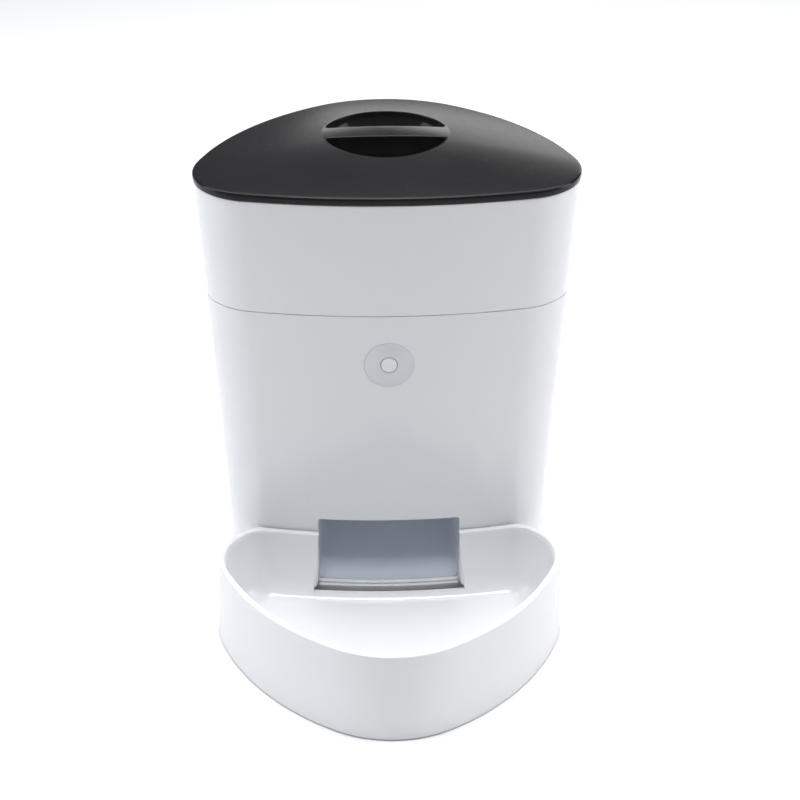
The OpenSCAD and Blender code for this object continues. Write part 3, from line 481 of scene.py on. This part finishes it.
# ---------------------------------------------------------------- underside
# A flat moulded cover closes the housing from below and forms the battery bay. It is held by five cross-head
# screws, and a clip-in door under the cells is held by one more.


def carried(finish, *names):
    """Gives CAD pieces that keep their shape this finish."""
    for name in names:
        nodes[name].data.materials.clear()
        nodes[name].data.materials.append(finish.material)


moulded_white = Finish("moulded_white_abs", roughness=0.4)
moulded_white.mottled(rgb(0.76, 0.77, 0.79), rgb(0.81, 0.82, 0.84), 14.0, 3.0)
moulded_white.polish(0.36 + 0.12 * moulded_white.noise(110.0, 3.0))
moulded_white.relief(moulded_white.noise(1500.0, 2.0), 0.00002)
carried(moulded_white, "bottom_cover", "battery_door")

zinc = Finish("zinc_plate", roughness=0.3, Metallic=1.0)
zinc.mottled(rgb(0.56, 0.56, 0.57), rgb(0.68, 0.68, 0.69), 350.0, 3.0)
zinc.polish(0.25 + 0.2 * zinc.noise(800.0, 3.0))
carried(zinc, "cover_screws", "door_screw")

# ---------------------------------------------------------------- feet
# Four round rubber feet sit in pockets of the cover. Each is one soft moulding with a chamfered lower edge
# and a raised grip ring.


def sized_tree(name, sizes):
    """An empty node tree that takes a mesh of points and the named sizes."""
    tree = bpy.data.node_groups.new(name, "GeometryNodeTree")
    tree.interface.new_socket("Geometry", in_out="INPUT", socket_type="NodeSocketGeometry")
    for label, value in sizes.items():
        tree.interface.new_socket(label, in_out="INPUT", socket_type="NodeSocketFloat").default_value = value
    tree.interface.new_socket("Geometry", in_out="OUTPUT", socket_type="NodeSocketGeometry")
    return tree


def added(tree, kind, settings=(), **values):
    """A node of this kind, with its settings made first and then its sockets' values or links."""
    made = tree.nodes.new(kind)
    for label, value in dict(settings).items():
        setattr(made, label, value)
    for label, value in values.items():
        slot = made.inputs[label.replace("_", " ")]
        if isinstance(value, bpy.types.NodeSocket):
            tree.links.new(value, slot)
        else:
            slot.default_value = value
    return made


def set_out(name, tree, points, finish):
    """The tree's shape at every point, as one plain mesh."""
    mesh = bpy.data.meshes.new(name)
    mesh.from_pydata([tuple(p) for p in points], [], [])
    piece = as_object(name, mesh)
    step = piece.modifiers.new("repeat", "NODES")
    step.node_group = tree
    done = bpy.data.meshes.new_from_object(piece.evaluated_get(bpy.context.evaluated_depsgraph_get()))
    piece.modifiers.clear()
    piece.data = done
    piece.data.materials.clear()
    piece.data.materials.append(finish.material)
    return piece


def islands(name):
    """The lowest and highest corners of each separate solid of a CAD piece, from left to right."""
    copy = bmesh.new()
    copy.from_mesh(nodes[name].data)
    bmesh.ops.remove_doubles(copy, verts=copy.verts, dist=1e-6)
    left, found = set(copy.verts), []
    while left:
        stack, group = [left.pop()], []
        while stack:
            vert = stack.pop()
            group.append(vert.co.copy())
            for link in vert.link_edges:
                other = link.other_vert(vert)
                if other in left:
                    left.remove(other)
                    stack.append(other)
        found.append((Vector(map(min, zip(*group))), Vector(map(max, zip(*group)))))
    copy.free()
    return sorted(found, key=lambda pair: (round(pair[0].x, 4), pair[0].y))


def round_foot_tree(name, radius, height, chamfer, finish):
    """Round feet with a chamfered lower edge and a raised ring, standing on the floor at each point."""
    tree = sized_tree(name, {"Radius": radius, "Height": height, "Chamfer": chamfer})
    sizes = added(tree, "NodeGroupInput").outputs

    def sum_of(a, b, operation="ADD"):
        made = added(tree, "ShaderNodeMath", {"operation": operation})
        for slot, value in zip(made.inputs, (a, b)):
            if isinstance(value, bpy.types.NodeSocket):
                tree.links.new(value, slot)
            else:
                slot.default_value = value
        return made.outputs[0]

    def raised(geometry, height_field):
        place = added(tree, "ShaderNodeCombineXYZ", Z=height_field).outputs[0]
        return added(tree, "GeometryNodeTransform", Geometry=geometry, Translation=place).outputs[0]

    body_height = sum_of(sizes["Height"], sizes["Chamfer"], "SUBTRACT")
    barrel = added(tree, "GeometryNodeMeshCylinder", Vertices=56, Radius=sizes["Radius"],
                   Depth=body_height).outputs["Mesh"]
    barrel = raised(barrel, sum_of(sizes["Chamfer"], sum_of(body_height, 0.5, "MULTIPLY")))
    sole = added(tree, "GeometryNodeMeshCone", Vertices=56, Radius_Top=sizes["Radius"],
                 Radius_Bottom=sum_of(sizes["Radius"], sizes["Chamfer"], "SUBTRACT"),
                 Depth=sizes["Chamfer"]).outputs["Mesh"]
    sole = raised(sole, 0.0)
    ring = added(tree, "GeometryNodeCurvePrimitiveCircle", Resolution=56,
                 Radius=sum_of(sizes["Radius"], 0.55, "MULTIPLY")).outputs["Curve"]
    bead = added(tree, "GeometryNodeCurvePrimitiveCircle", Resolution=10,
                 Radius=sum_of(sizes["Chamfer"], 0.5, "MULTIPLY")).outputs["Curve"]
    ridge = added(tree, "GeometryNodeCurveToMesh", Curve=ring, Profile_Curve=bead).outputs[0]
    ridge = raised(ridge, sum_of(sizes["Chamfer"], 0.5, "MULTIPLY"))
    shape = added(tree, "GeometryNodeJoinGeometry")
    for part in (barrel, sole, ridge):
        tree.links.new(part, shape.inputs[0])
    spread = added(tree, "GeometryNodeInstanceOnPoints", Points=sizes["Geometry"],
                   Instance=shape.outputs[0]).outputs[0]
    real = added(tree, "GeometryNodeRealizeInstances", Geometry=spread).outputs[0]
    painted = added(tree, "GeometryNodeSetMaterial", Geometry=real, Material=finish.material).outputs[0]
    tree.links.new(painted, added(tree, "NodeGroupOutput").inputs[0])
    return tree


soft_rubber = Finish("soft_rubber", roughness=0.75)
soft_rubber.mottled(rgb(0.045, 0.045, 0.048), rgb(0.075, 0.075, 0.08), 60.0, 4.0)
soft_rubber.polish(0.65 + 0.2 * soft_rubber.noise(300.0, 3.0))
soft_rubber.relief(soft_rubber.noise(2200.0, 2.0), 0.00003)


def round_feet(name, cad, chamfer):
    """Chamfered round feet in the places of a CAD piece's solids."""
    feet = islands(cad)
    low, high = feet[0]
    tree = round_foot_tree(name + "_tree", (high.x - low.x) / 2, high.z - low.z, chamfer, soft_rubber)
    points = [((a.x + b.x) / 2, (a.y + b.y) / 2, a.z) for a, b in feet]
    piece = set_out(name, tree, points, soft_rubber)
    piece.data.shade_smooth()
    piece.data.set_sharp_from_angle(angle=math.radians(30))
    return piece


feet = round_feet("rubber_feet_set", "rubber_feet", 0.8 * mm)
finished(feet, soft_rubber, "housing", "rubber", "rubber_feet")

# ---------------------------------------------------------------- cells
# Three backup cells in printed plastic sleeves, dark with a copper-coloured collar, lie side by side in the
# bay. Sprung plated contacts hold them at both ends.
sleeve = Finish("cell_sleeve", roughness=0.25, Coat_Weight=0.2)
along_cell = sleeve.axis("Y")
cell_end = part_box("backup_cells")[1].y
collar_w = 14 * mm
collar = ((along_cell - (cell_end - collar_w)) * 3000).clamped()
sleeve.paint(sleeve.blend(collar, rgb(0.05, 0.055, 0.065), rgb(0.62, 0.47, 0.20)))
sleeve.polish(0.2 + 0.15 * sleeve.noise(200.0, 2.0))
carried(sleeve, "backup_cells")
carried(zinc, "battery_contacts")

# ---------------------------------------------------------------- chute
# A thin moulded slide behind the mouth. It is wide at the front, narrows towards the wheel chamber above,
# and its floor slopes at about fifty degrees so that food runs out into the bowl.
chute_t = 1.8 * mm
outlet_w = 68 * mm
chute_top = 93.6 * mm
outlet_near, outlet_far = foot_y + 31 * mm, foot_y + 60 * mm
spout = 2.6 * mm


def chute_ring(along, grow):
    """The passage's outline, from the mouth at 0 to the outlet above at 1."""
    front = rounded_box(mouth_w / 2 + grow, (mouth_z1 - mouth_z0) / 2 + grow, 4 * mm + grow)
    x, z = front[:, 0], front[:, 1] + mouth_middle
    low = np.column_stack([x, front_surface(x, z) + wall + 0.35 * mm, z])
    top_r = spout + grow
    top = rounded_box(outlet_w / 2 + top_r, (outlet_far - outlet_near) / 2 + top_r, 4 * mm + grow)
    high = level(np.column_stack([top[:, 0], (outlet_near + outlet_far) / 2 - top[:, 1]]), chute_top)
    return low + (high - low) * along


lengths = np.linspace(0, 1, 15)
outer_wall, inner_wall = [[chute_ring(a, grow) for a in lengths] for grow in (chute_t, 0)]
chute = loft("chute_slide", outer_wall + inner_wall[::-1], "looped")
smooth(chute)
# Bluish white plastic with painted shade: its colour is darkened to a blue-grey that stands in for the shadow
# inside the mouth.
chute_grey = Finish("chute_plastic_painted_shade", roughness=0.3)
chute_grey.mottled(rgb(0.60, 0.65, 0.73), rgb(0.65, 0.70, 0.78), 25.0, 3.0)
chute_grey.polish(0.26 + 0.1 * chute_grey.noise(90.0))
chute_grey.relief(chute_grey.noise(900.0), 0.00001)
finished(chute, chute_grey, "housing", "chute_grey", "chute")

# ---------------------------------------------------------------- deck and drive
# The screwed deck carries the drive below it: a can motor, a grey gearbox with three nylon gear stages on
# steel pins, and the output shaft with its hexagonal coupling. Optical sensors look across the chute.
carried(moulded_white, "drive_deck")
carried(zinc, "deck_screws")
grey_moulding = Finish("grey_moulding", roughness=0.45)
grey_moulding.mottled(rgb(0.32, 0.33, 0.35), rgb(0.38, 0.39, 0.41), 20.0, 3.0)
grey_moulding.polish(0.4 + 0.15 * grey_moulding.noise(240.0, 3.0))
grey_moulding.relief(grey_moulding.noise(1800.0, 2.0), 0.00003)
carried(grey_moulding, "gearbox_case", "gearbox_cover")
carried(zinc, "gearbox_screws", "idler_pins")

motor_can = Finish("motor_can", roughness=0.3, Metallic=1.0)
motor_can.mottled(rgb(0.52, 0.52, 0.53), rgb(0.64, 0.64, 0.65), 500.0, 4.0)
motor_can.polish(0.22 + 0.16 * motor_can.noise(90.0, 4.0))
carried(motor_can, "motor")

nylon = Finish("gear_nylon", roughness=0.45, Subsurface_Weight=0.05)
nylon.mottled(rgb(0.74, 0.71, 0.62), rgb(0.80, 0.78, 0.70), 40.0, 3.0)
nylon.polish(0.4 + 0.14 * nylon.noise(300.0, 2.0))
nylon.relief(nylon.noise(1400.0, 2.0), 0.00002)
carried(nylon, "motor_pinion", "first_idler_gear", "second_idler_gear", "output_gear", "drive_coupling")

black_moulding = Finish("black_moulding", roughness=0.4)
black_moulding.mottled(rgb(0.025, 0.025, 0.027), rgb(0.035, 0.035, 0.038), 30.0, 3.0)
black_moulding.polish(0.35 + 0.15 * black_moulding.noise(260.0, 3.0))
black_moulding.relief(black_moulding.noise(1700.0, 2.0), 0.00002)
carried(black_moulding, "food_sensors", "power_inlet")

# ---------------------------------------------------------------- boards
# The main board stands beside the drive, with a shielded radio module and its parts on it. A small board
# behind the button holds its switch and the status light.
solder_mask = Finish("solder_mask", roughness=0.3, Coat_Weight=0.3)
tracks = solder_mask.node("ShaderNodeTexBrick", Vector=solder_mask.place, Scale=900.0, Mortar_Size=0.03)
solder_mask.feed(tracks.inputs["Color1"], rgb(0.03, 0.16, 0.08))
solder_mask.feed(tracks.inputs["Color2"], rgb(0.04, 0.20, 0.10))
solder_mask.feed(tracks.inputs["Mortar"], rgb(0.06, 0.27, 0.14))
solder_mask.paint(tracks.outputs["Color"])
solder_mask.polish(0.25 + 0.15 * solder_mask.noise(400.0, 2.0))
carried(solder_mask, "main_board", "button_board")
carried(black_moulding, "board_parts", "button_switch")
carried(zinc, "board_screws", "radio_module")

diffuser = Finish("light_diffuser", roughness=0.35, Transmission_Weight=0.25)
diffuser.mottled(rgb(0.76, 0.81, 0.86), rgb(0.84, 0.88, 0.92), 500.0, 2.0)
carried(diffuser, "status_light")

# ---------------------------------------------------------------- disc and button
# A flat polished disc is let into its seat in the housing's front. A small push button, slightly dished,
# slides in the sleeve through its middle.
edge = 0.3 * mm
face = 0.25 * mm
disc_profile = [(button_r + 0.3 * mm, face - 1.35 * mm), (bezel_r, face - 1.35 * mm), (bezel_r, face - edge),
                (bezel_r - edge * 0.3, face - edge * 0.3), (bezel_r - edge, face),
                (bezel_r - 1.6 * mm, face), (bezel_r - 1.9 * mm, face - 0.12 * mm),
                (button_r + 0.9 * mm, face - 0.12 * mm), (button_r + 0.45 * mm, face - 0.25 * mm),
                (button_r + 0.3 * mm, face - 0.6 * mm)]
disc = lathe("button_disc", disc_profile, seat, 128)
smooth(disc, 25)
disc_grey = Finish("polished_disc", roughness=0.08, IOR=1.5, Coat_Weight=0.3)
outwards = (disc_grey.distance(seat.to_translation()) * 66).clamped()
disc_grey.paint(disc_grey.blend(outwards, rgb(0.74, 0.76, 0.79), rgb(0.70, 0.725, 0.755)))
disc_grey.polish(0.08 + 0.05 * disc_grey.noise(120.0))
finished(disc, disc_grey, "housing", "grey_disc", "button_bezel")

stem_r, stem_z = 1.8 * mm, -4.7 * mm
rim_r, rim_z, dish = button_r - 0.02 * mm, 0.1 * mm, 0.35 * mm
button_profile = [(0, stem_z), (stem_r, stem_z), (stem_r, -wall), (rim_r, -wall), (rim_r, rim_z)]
button_profile += [(button_r - 0.45 * mm + 0.43 * mm * math.cos(a), rim_z + 0.45 * mm * math.sin(a))
                   for a in (0.3, 0.6, 0.9, 1.2)]
button_profile += [(button_r * share, 0.55 * mm - dish * (1 - (share / 0.92) ** 2))
                   for share in (0.88, 0.75, 0.6, 0.45, 0.3, 0.15, 0.04)]
button_profile += [(0, 0.55 * mm - dish)]
button = lathe("push_button", button_profile, seat, 96)
smooth(button, 40)
button_white = Finish("button_white", roughness=0.1, IOR=1.5, Coat_Weight=0.4)
button_white.mottled(rgb(0.82, 0.83, 0.86), rgb(0.86, 0.87, 0.89), 200.0)
finished(button, button_white, "feed_button", "button_white", "feed_button")

# ---------------------------------------------------------------- food tank
# The white band under the lid is the top of a lift-out tank. Below the joint it steps in, narrows as a
# funnel and ends in the round chamber of the food wheel.
tank_t = 2 * mm
skirt_in = wall + 0.4 * mm
skirt_z, shoulder_z, tank_step = split_z - 6 * mm, split_z - 18 * mm, 13 * mm
wheel_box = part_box("wheel_hub")
wheel_x, wheel_y = 0.0, (wheel_box[0].y + wheel_box[1].y) / 2
chamber_r = 50 * mm
chamber_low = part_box("tank")[0].z
chamber_high = chamber_low + 36 * mm


def round_ring(radius):
    """A circle about the wheel's axis whose points line up with the body's outline."""
    spokes = section(chamber_high) - (wheel_x, wheel_y)
    return (wheel_x, wheel_y) + radius * spokes / np.linalg.norm(spokes, axis=1)[:, None]


def eased(low_ring, low_z, high_ring, high_z, steps=10):
    """Rings of a funnel that leaves one outline and meets another with a soft curve."""
    rings = []
    for t in np.linspace(0, 1, steps):
        share = t * t * (3 - 2 * t) * 0.35 + t * 0.65
        rings.append(level(low_ring + (high_ring - low_ring) * share, low_z + (high_z - low_z) * t))
    return rings


shoulder_in = skirt_in + tank_step
outside = eased(round_ring(chamber_r + tank_t), chamber_high, section(shoulder_z, shoulder_in), shoulder_z)
inside = eased(round_ring(chamber_r), chamber_high, section(shoulder_z, shoulder_in + tank_t), shoulder_z)
tank_rings = [level(round_ring(chamber_r + tank_t), chamber_low)] + outside
tank_rings += [level(section(skirt_z, skirt_in), skirt_z),
               level(section(split_z, skirt_in), split_z - 0.02 * mm)]
band = rounded([(skirt_in, split_z), (0, split_z), (0, body_h), (wall, body_h), (wall, split_z + 8 * mm)],
               [0, 0.55 * mm, 0.5 * mm, 0.6 * mm, 0])
tank_rings += [level(section(z, t), z) for t, z in band[1:]]
tank_rings += [level(section(z, skirt_in + tank_t), z) for z in (split_z, skirt_z)]
tank_rings += inside[::-1] + [level(round_ring(chamber_r), chamber_low)]
tank = loft("food_tank_shell", tank_rings, "looped")
smooth(tank)
finished(tank, gloss_white, "food_tank", "white_shell", "tank")

# ---------------------------------------------------------------- chamber floor and food wheel
# The chamber's floor is screwed under the tank and leaves one opening over the chute. On it turns a wheel of
# six soft silicone vanes on a grey hub, with a stirrer on top and a shield over the outlet.
carried(moulded_white, "chamber_floor", "outlet_shield")
carried(zinc, "floor_screws", "wheel_screw")
carried(grey_moulding, "wheel_hub", "stirrer")
silicone = Finish("soft_silicone", roughness=0.55, Subsurface_Weight=0.1)
silicone.mottled(rgb(0.47, 0.53, 0.60), rgb(0.53, 0.59, 0.66), 35.0, 3.0)
silicone.polish(0.5 + 0.15 * silicone.noise(260.0, 2.0))
silicone.relief(silicone.noise(1200.0, 2.0), 0.00003)
carried(silicone, "wheel_vanes")

# ---------------------------------------------------------------- lid
# A black moulded cover: an upright glossy edge, a shallow satin dome, and a round finger grip sunk into
# its middle with a flat bar left standing across it.
lid_z = body_h
lid_edge, lid_dome, lid_t, lid_proud = 4.8 * mm, 7.4 * mm, 2.4 * mm, 0.38 * mm
dome_z = lid_z + lid_edge
lid_top = dome_z + lid_dome
dome_share = 0.985
lid_middle = np.array([0, front_y(body_h) + body_d / 2])
grip_y = lid_middle[1] + 6 * mm
grip_r, grip_deep, grip_bar = 38.3 * mm, 16 * mm, 17 * mm


def lid_ring(share, z, inset=-lid_proud):
    return level(lid_middle + share * (section(body_h, inset) - lid_middle), z)


def dome_height(share):
    return lid_dome * (1 - (share / dome_share) ** 2)


def dome_surface(x, y):
    """The dome's height over the point x, y."""
    spokes = section(body_h, -lid_proud) - lid_middle
    order = np.argsort(np.arctan2(spokes[:, 1], spokes[:, 0]))
    bearing = np.arctan2(spokes[order, 1], spokes[order, 0])
    reach = np.linalg.norm(spokes[order], axis=1)
    here = np.column_stack([x, y - lid_middle[1]])
    limit = np.interp(np.arctan2(here[:, 1], here[:, 0]), bearing, reach, period=2 * math.pi)
    return dome_z + dome_height(np.linalg.norm(here, axis=1) / limit)


edge_r = 1.8 * mm
edge_turn = np.radians(np.linspace(0, 81, 8))
edge_shares = 1 - (1 - dome_share) / (1 - math.cos(edge_turn[-1])) * (1 - np.cos(edge_turn))
edge_heights = dome_z - edge_r * (math.sin(edge_turn[-1]) - np.sin(edge_turn))
crown = np.concatenate([np.linspace(dome_share, 0.1, 44)[1:], [0.05, 0.02]])
rings = [lid_ring(0.99, lid_z), lid_ring(0.996, lid_z),
         lid_ring(0.999, lid_z + 0.3 * mm), lid_ring(1, lid_z + 0.8 * mm)]
rings += [lid_ring(s, z) for s, z in zip(edge_shares, edge_heights)]
rings += [lid_ring(s, dome_z + dome_height(s)) for s in crown]
lid = loft("lid_cover", rings)
hollow = [lid_ring(1, lid_z - 1 * mm, lid_t), lid_ring(0.99, dome_z - lid_t - 0.8 * mm, lid_t)]
hollow += [lid_ring(s, dome_z - lid_t + dome_height(s), lid_t) for s in crown[::3]]
worked(lid, "DIFFERENCE", [loft("dome_tool", hollow)])


def grip_place(height):
    return Matrix.Translation((0, grip_y, height))


pan_floor = lid_top - grip_deep
pan_high = grip_deep - 2.6 * mm
pan_profile = [(0, -lid_t), (grip_r - 8.5 * mm, -lid_t), (grip_r - 3 * mm + lid_t, 4 * mm),
               (grip_r + lid_t, pan_high), (0, pan_high)]
worked(lid, "UNION", [lathe("grip_pan", pan_profile, grip_place(pan_floor), 128)])


def segment(radius, chord, corner, side):
    """A circle's segment beyond a chord, with its two tips rounded. Its side is 1 behind the bar."""
    out = []
    tip = math.asin((chord + corner) / (radius - corner))
    inner = radius - corner
    tips = [np.array([x, chord + corner]) for x in (inner * math.cos(tip), -inner * math.cos(tip))]
    for k in range(9):
        t = -math.pi / 2 + (tip + math.pi / 2) * k / 8
        out.append(tips[0] + corner * np.array([math.cos(t), math.sin(t)]))
    for k in range(1, 48):
        t = tip + (math.pi - 2 * tip) * k / 48
        out.append(radius * np.array([math.cos(t), math.sin(t)]))
    for k in range(9):
        t = math.pi - tip + (tip + math.pi / 2) * k / 8
        out.append(tips[1] + corner * np.array([math.cos(t), math.sin(t)]))
    chord_x = np.linspace(-tips[0][0], tips[0][0], 26)[1:-1]
    out += [np.array([x, chord]) for x in chord_x]
    out = np.array(out)
    return out if side > 0 else (out * (1, -1))[::-1]


def finger_well(side):
    """The space that one half of the grip takes out of the dome."""
    made = []
    for spread, depth in flared(0.8 * mm, 2.5 * mm, 15):
        outline = segment(grip_r + spread, grip_bar / 2 - spread, 2.2 * mm + spread, side) + (0, grip_y)
        made.append(np.column_stack([outline, dome_surface(outline[:, 0], outline[:, 1]) - depth]))
    for shrink, height in ((0.6, 9.0), (2.2, 5.5), (4.0, 3.0), (5.5, 1.5), (7.5, 0.5), (9.5, 0.0)):
        chord = grip_bar / 2 + min(shrink, 3.0) * 0.35 * mm
        outline = segment(grip_r - shrink * mm, chord, 2.6 * mm, side) + (0, grip_y)
        made.append(level(outline, pan_floor + height * mm))
    return loft("finger_well", made)


hollow_r, hollow_low, hollow_high = grip_r - 10 * mm, -10 * mm, grip_deep - 3.4 * mm
hollow_half = grip_bar / 2 - lid_t
bar_hollow = worked(
    lathe("bar_tool", [(0, hollow_low), (hollow_r, hollow_low), (hollow_r, hollow_high), (0, hollow_high)],
          grip_place(pan_floor), 96),
    "INTERSECT",
    [block("slab_tool", (-grip_r, grip_y - hollow_half, 0.2), (grip_r, grip_y + hollow_half, 0.4))])
worked(lid, "DIFFERENCE", [finger_well(1), finger_well(-1), bar_hollow])
lip_in, lip_t, lip_low, lip_high = wall + 1 * mm, 2 * mm, lid_z - 9 * mm, lid_z + 2.4 * mm
lip = rounded([(lip_in, lip_low), (lip_in, lip_high), (lip_in + lip_t, lip_high), (lip_in + lip_t, lip_low)],
              [0.6 * mm, 0, 0, 0.6 * mm])
worked(lid, "UNION", [loft("lip", [level(section(body_h, t), z) for t, z in lip], "looped")])
smooth(lid, 34)

satin_black = Finish("satin_black_abs", roughness=0.26, IOR=1.5, Specular_IOR_Level=0.2)
height_here = satin_black.axis("Z")
from_grip = satin_black.distance((0, grip_y, lid_top))
on_dome = ((height_here - (dome_z - 0.9 * mm)) * 1500).clamped()
in_grip = ((grip_r + 1.5 * mm - from_grip) * 1500).clamped()
satin = (on_dome - in_grip).clamped()
satin_black.mottled(rgb(0.011, 0.011, 0.012), rgb(0.016, 0.016, 0.017), 30.0, 4.0)
satin_black.polish(0.1 + 0.14 * satin + 0.05 * satin_black.noise(160.0, 4.0))
satin_black.relief(satin * satin_black.noise(1400.0, 2.0), 0.000004)
finished(lid, satin_black, "lid", "black_lid", "lid")

# ---------------------------------------------------------------- lid seal and desiccant box
# A silicone seal sits in a groove of the lid's lip. Under the grip hangs a round box with a slotted clip-on
# cover that holds a paper bag of desiccant.
carried(silicone, "lid_seal")
carried(moulded_white, "desiccant_box")
carried(grey_moulding, "desiccant_cover")
bag_paper = Finish("bag_paper", roughness=0.9)
fibres = bag_paper.noise(700.0, 5.0, 0.7)
bag_paper.paint(bag_paper.blend(fibres, rgb(0.74, 0.74, 0.70), rgb(0.88, 0.88, 0.85)))
bag_paper.polish(0.8 + 0.15 * fibres)
bag_paper.relief(fibres, 0.00015)
carried(bag_paper, "desiccant_bag")

# ---------------------------------------------------------------- bowl
# One glossy white moulding with the housing's plan turned round: an outer skirt, a flat rim, and a basin
# that falls to a wide floor. Its back follows the housing's front and opens in the middle for the chute.
bowl_w, bowl_reach, bowl_h, bowl_back = 219 * mm, 138.5 * mm, 56 * mm, 13 * mm
bowl_draft, bowl_rake, bowl_t, rim_t = 2 * mm, 8.2 * mm, 2.5 * mm, 4 * mm
basin_z, bowl_gap, bowl_low = 12 * mm, 0.4 * mm, 0.8 * mm
bowl_middle = np.array([0, foot_y - 58 * mm])
bearings = np.linspace(0, 2 * math.pi, 480, endpoint=False)


def soft_least(a, b, blend):
    """The smaller of two distances, rounded off where they are about equal."""
    h = np.clip(0.5 + 0.5 * (b - a) / blend, 0, 1)
    return b * (1 - h) + a * h - blend * h * (1 - h)


def bowl_outline(z, inset, back, blend):
    """The turned plan at height z, moved in by inset and stopped short of the housing by back."""
    k = z / bowl_h
    points = plan(bowl_w - 2 * bowl_draft * k - 2 * inset, bowl_reach - bowl_rake * k + bowl_back - 2 * inset,
                  900 * mm, 37 * mm - inset, 163 * mm - inset, 70 * mm - inset)
    points = points * (-1, -1) + (0, foot_y + bowl_back - inset) - bowl_middle
    angle = np.arctan2(points[:, 1], points[:, 0])
    order = np.argsort(angle)
    reach = np.interp(bearings, angle[order], np.linalg.norm(points[order], axis=1), period=2 * math.pi)
    rise = np.maximum(np.sin(bearings), 1e-3)
    stop = np.full(len(bearings), 0.06)
    for _ in range(30):
        x = np.clip(stop * np.cos(bearings), -0.084, 0.084)
        stop = 0.5 * stop + 0.5 * np.minimum((front_surface(x, z) - back - bowl_middle[1]) / rise, 1.0)
    both = np.where(np.sin(bearings) > 0.02, soft_least(reach, stop, blend), reach)
    return bowl_middle + both[:, None] * np.column_stack([np.cos(bearings), np.sin(bearings)])


def bowl_ring(z, inset, blend=1.5 * mm, back=None):
    """One ring of the bowl. Its back also moves in by inset, or by back where that is given."""
    return level(bowl_outline(z, inset, bowl_gap + (inset if back is None else back), blend), z)


def basin_inset(s):
    """How far the basin's wall has come in from the rim, at share s of its height."""
    floor_round = 1 - math.sqrt(1 - (1 - s / 0.3) ** 2) if s < 0.3 else 0.0
    return 11 * mm * (1 - s) + 12 * mm * floor_round


rim_round = 1.1 * mm
quarter = np.radians(np.linspace(0, 90, 6))
bowl_rings = [bowl_ring(bowl_low + 0.6 * mm, bowl_t), bowl_ring(bowl_low, bowl_t - 0.5 * mm),
              bowl_ring(bowl_low, 0.6 * mm), bowl_ring(bowl_low + 0.2 * mm, 0.15 * mm)]
bowl_rings += [bowl_ring(z, 0) for z in np.linspace(bowl_low + 0.8 * mm, bowl_h - rim_round, 12)]
for a in quarter[1:]:
    come_in = rim_round * (1 - math.cos(a))
    bowl_rings.append(bowl_ring(bowl_h - rim_round * (1 - math.sin(a)), come_in, back=0.5 * come_in))
for a in quarter:
    drop, come_in = rim_round * (1 - math.cos(a)), rim_t - rim_round * (1 - math.sin(a))
    bowl_rings.append(bowl_ring(bowl_h - drop, come_in, 7 * mm))
wall_shares = np.linspace(0.965, 0.3, 16)
floor_shares = 0.3 * (1 - np.sin(np.radians(np.linspace(6, 90, 15))))
for s in np.concatenate([wall_shares, floor_shares]):
    come_in = basin_inset(max(s, 0.0))
    bowl_rings.append(bowl_ring(basin_z + (bowl_h - basin_z) * s, rim_t + come_in,
                                8 * mm + come_in * 0.6, rim_t + come_in * 0.45))


def shrunk(outline, share, z):
    return level(bowl_middle + (outline - bowl_middle) * share, z)


floor_edge = bowl_rings[-1][:, :2]
bowl_rings += [shrunk(floor_edge, s, basin_z) for s in (0.9, 0.75, 0.6, 0.45, 0.3, 0.15, 0.04)]
under = [bowl_ring(z, bowl_t) for z in (bowl_low + 6 * mm, 25 * mm, 44 * mm)]
under += [bowl_ring(47 * mm, bowl_t + 1.2 * mm, 3 * mm, bowl_t + 0.3 * mm)]
for s in (0.76, 0.5, 0.3, 0.2, 0.1, 0.03, 0.0):
    come_in = basin_inset(s)
    under.append(bowl_ring(basin_z - bowl_t + (bowl_h - basin_z) * s, rim_t + come_in - bowl_t,
                           6 * mm + come_in * 0.6, rim_t + come_in * 0.45 - bowl_t * 0.6))
under_edge = under[-1][:, :2]
under += [shrunk(under_edge, s, basin_z - bowl_t) for s in (0.8, 0.5, 0.2, 0.04)]
bowl = loft("bowl_shell", under[::-1] + bowl_rings)


def notch_ring(y, spread):
    """One slice across the opening in the bowl's back."""
    half, low = mouth_w / 2 + spread, mouth_z0 - 1.5 * mm
    x = np.array([-half, half, half, -half])
    return np.column_stack([x, np.full(4, y), [low, low, 80 * mm, 80 * mm]])


notch_r = 4.0 * mm
face_y = foot_y - bowl_gap - rim_t
notch = [notch_ring(face_y - 16 * mm, notch_r * 0.9), notch_ring(face_y - 1.2 * mm, notch_r * 0.9)]
notch += [notch_ring(face_y - 1.2 * mm + notch_r * (1 - math.cos(a)), notch_r * (1 - math.sin(a)))
          for a in np.radians(range(14, 91, 8))]
notch += [notch_ring(foot_y + 20 * mm, 0)]
worked(bowl, "DIFFERENCE", [loft("notch_tool", notch)])
worked(bowl, "UNION", [hook_block(side, -3.5 * mm, 6 * mm) for side in (-1, 1)])
smooth(bowl, 30)
finished(bowl, gloss_white, "bowl", "white_bowl", "bowl")

# ---------------------------------------------------------------- bowl pads
# Three thin rubber pads under the bowl, of the same form as the housing's feet. They carry the bowl level with
# its hooks.
pads = round_feet("bowl_pad_set", "bowl_pads", 0.4 * mm)
finished(pads, soft_rubber, "bowl", "rubber", "bowl_pads")
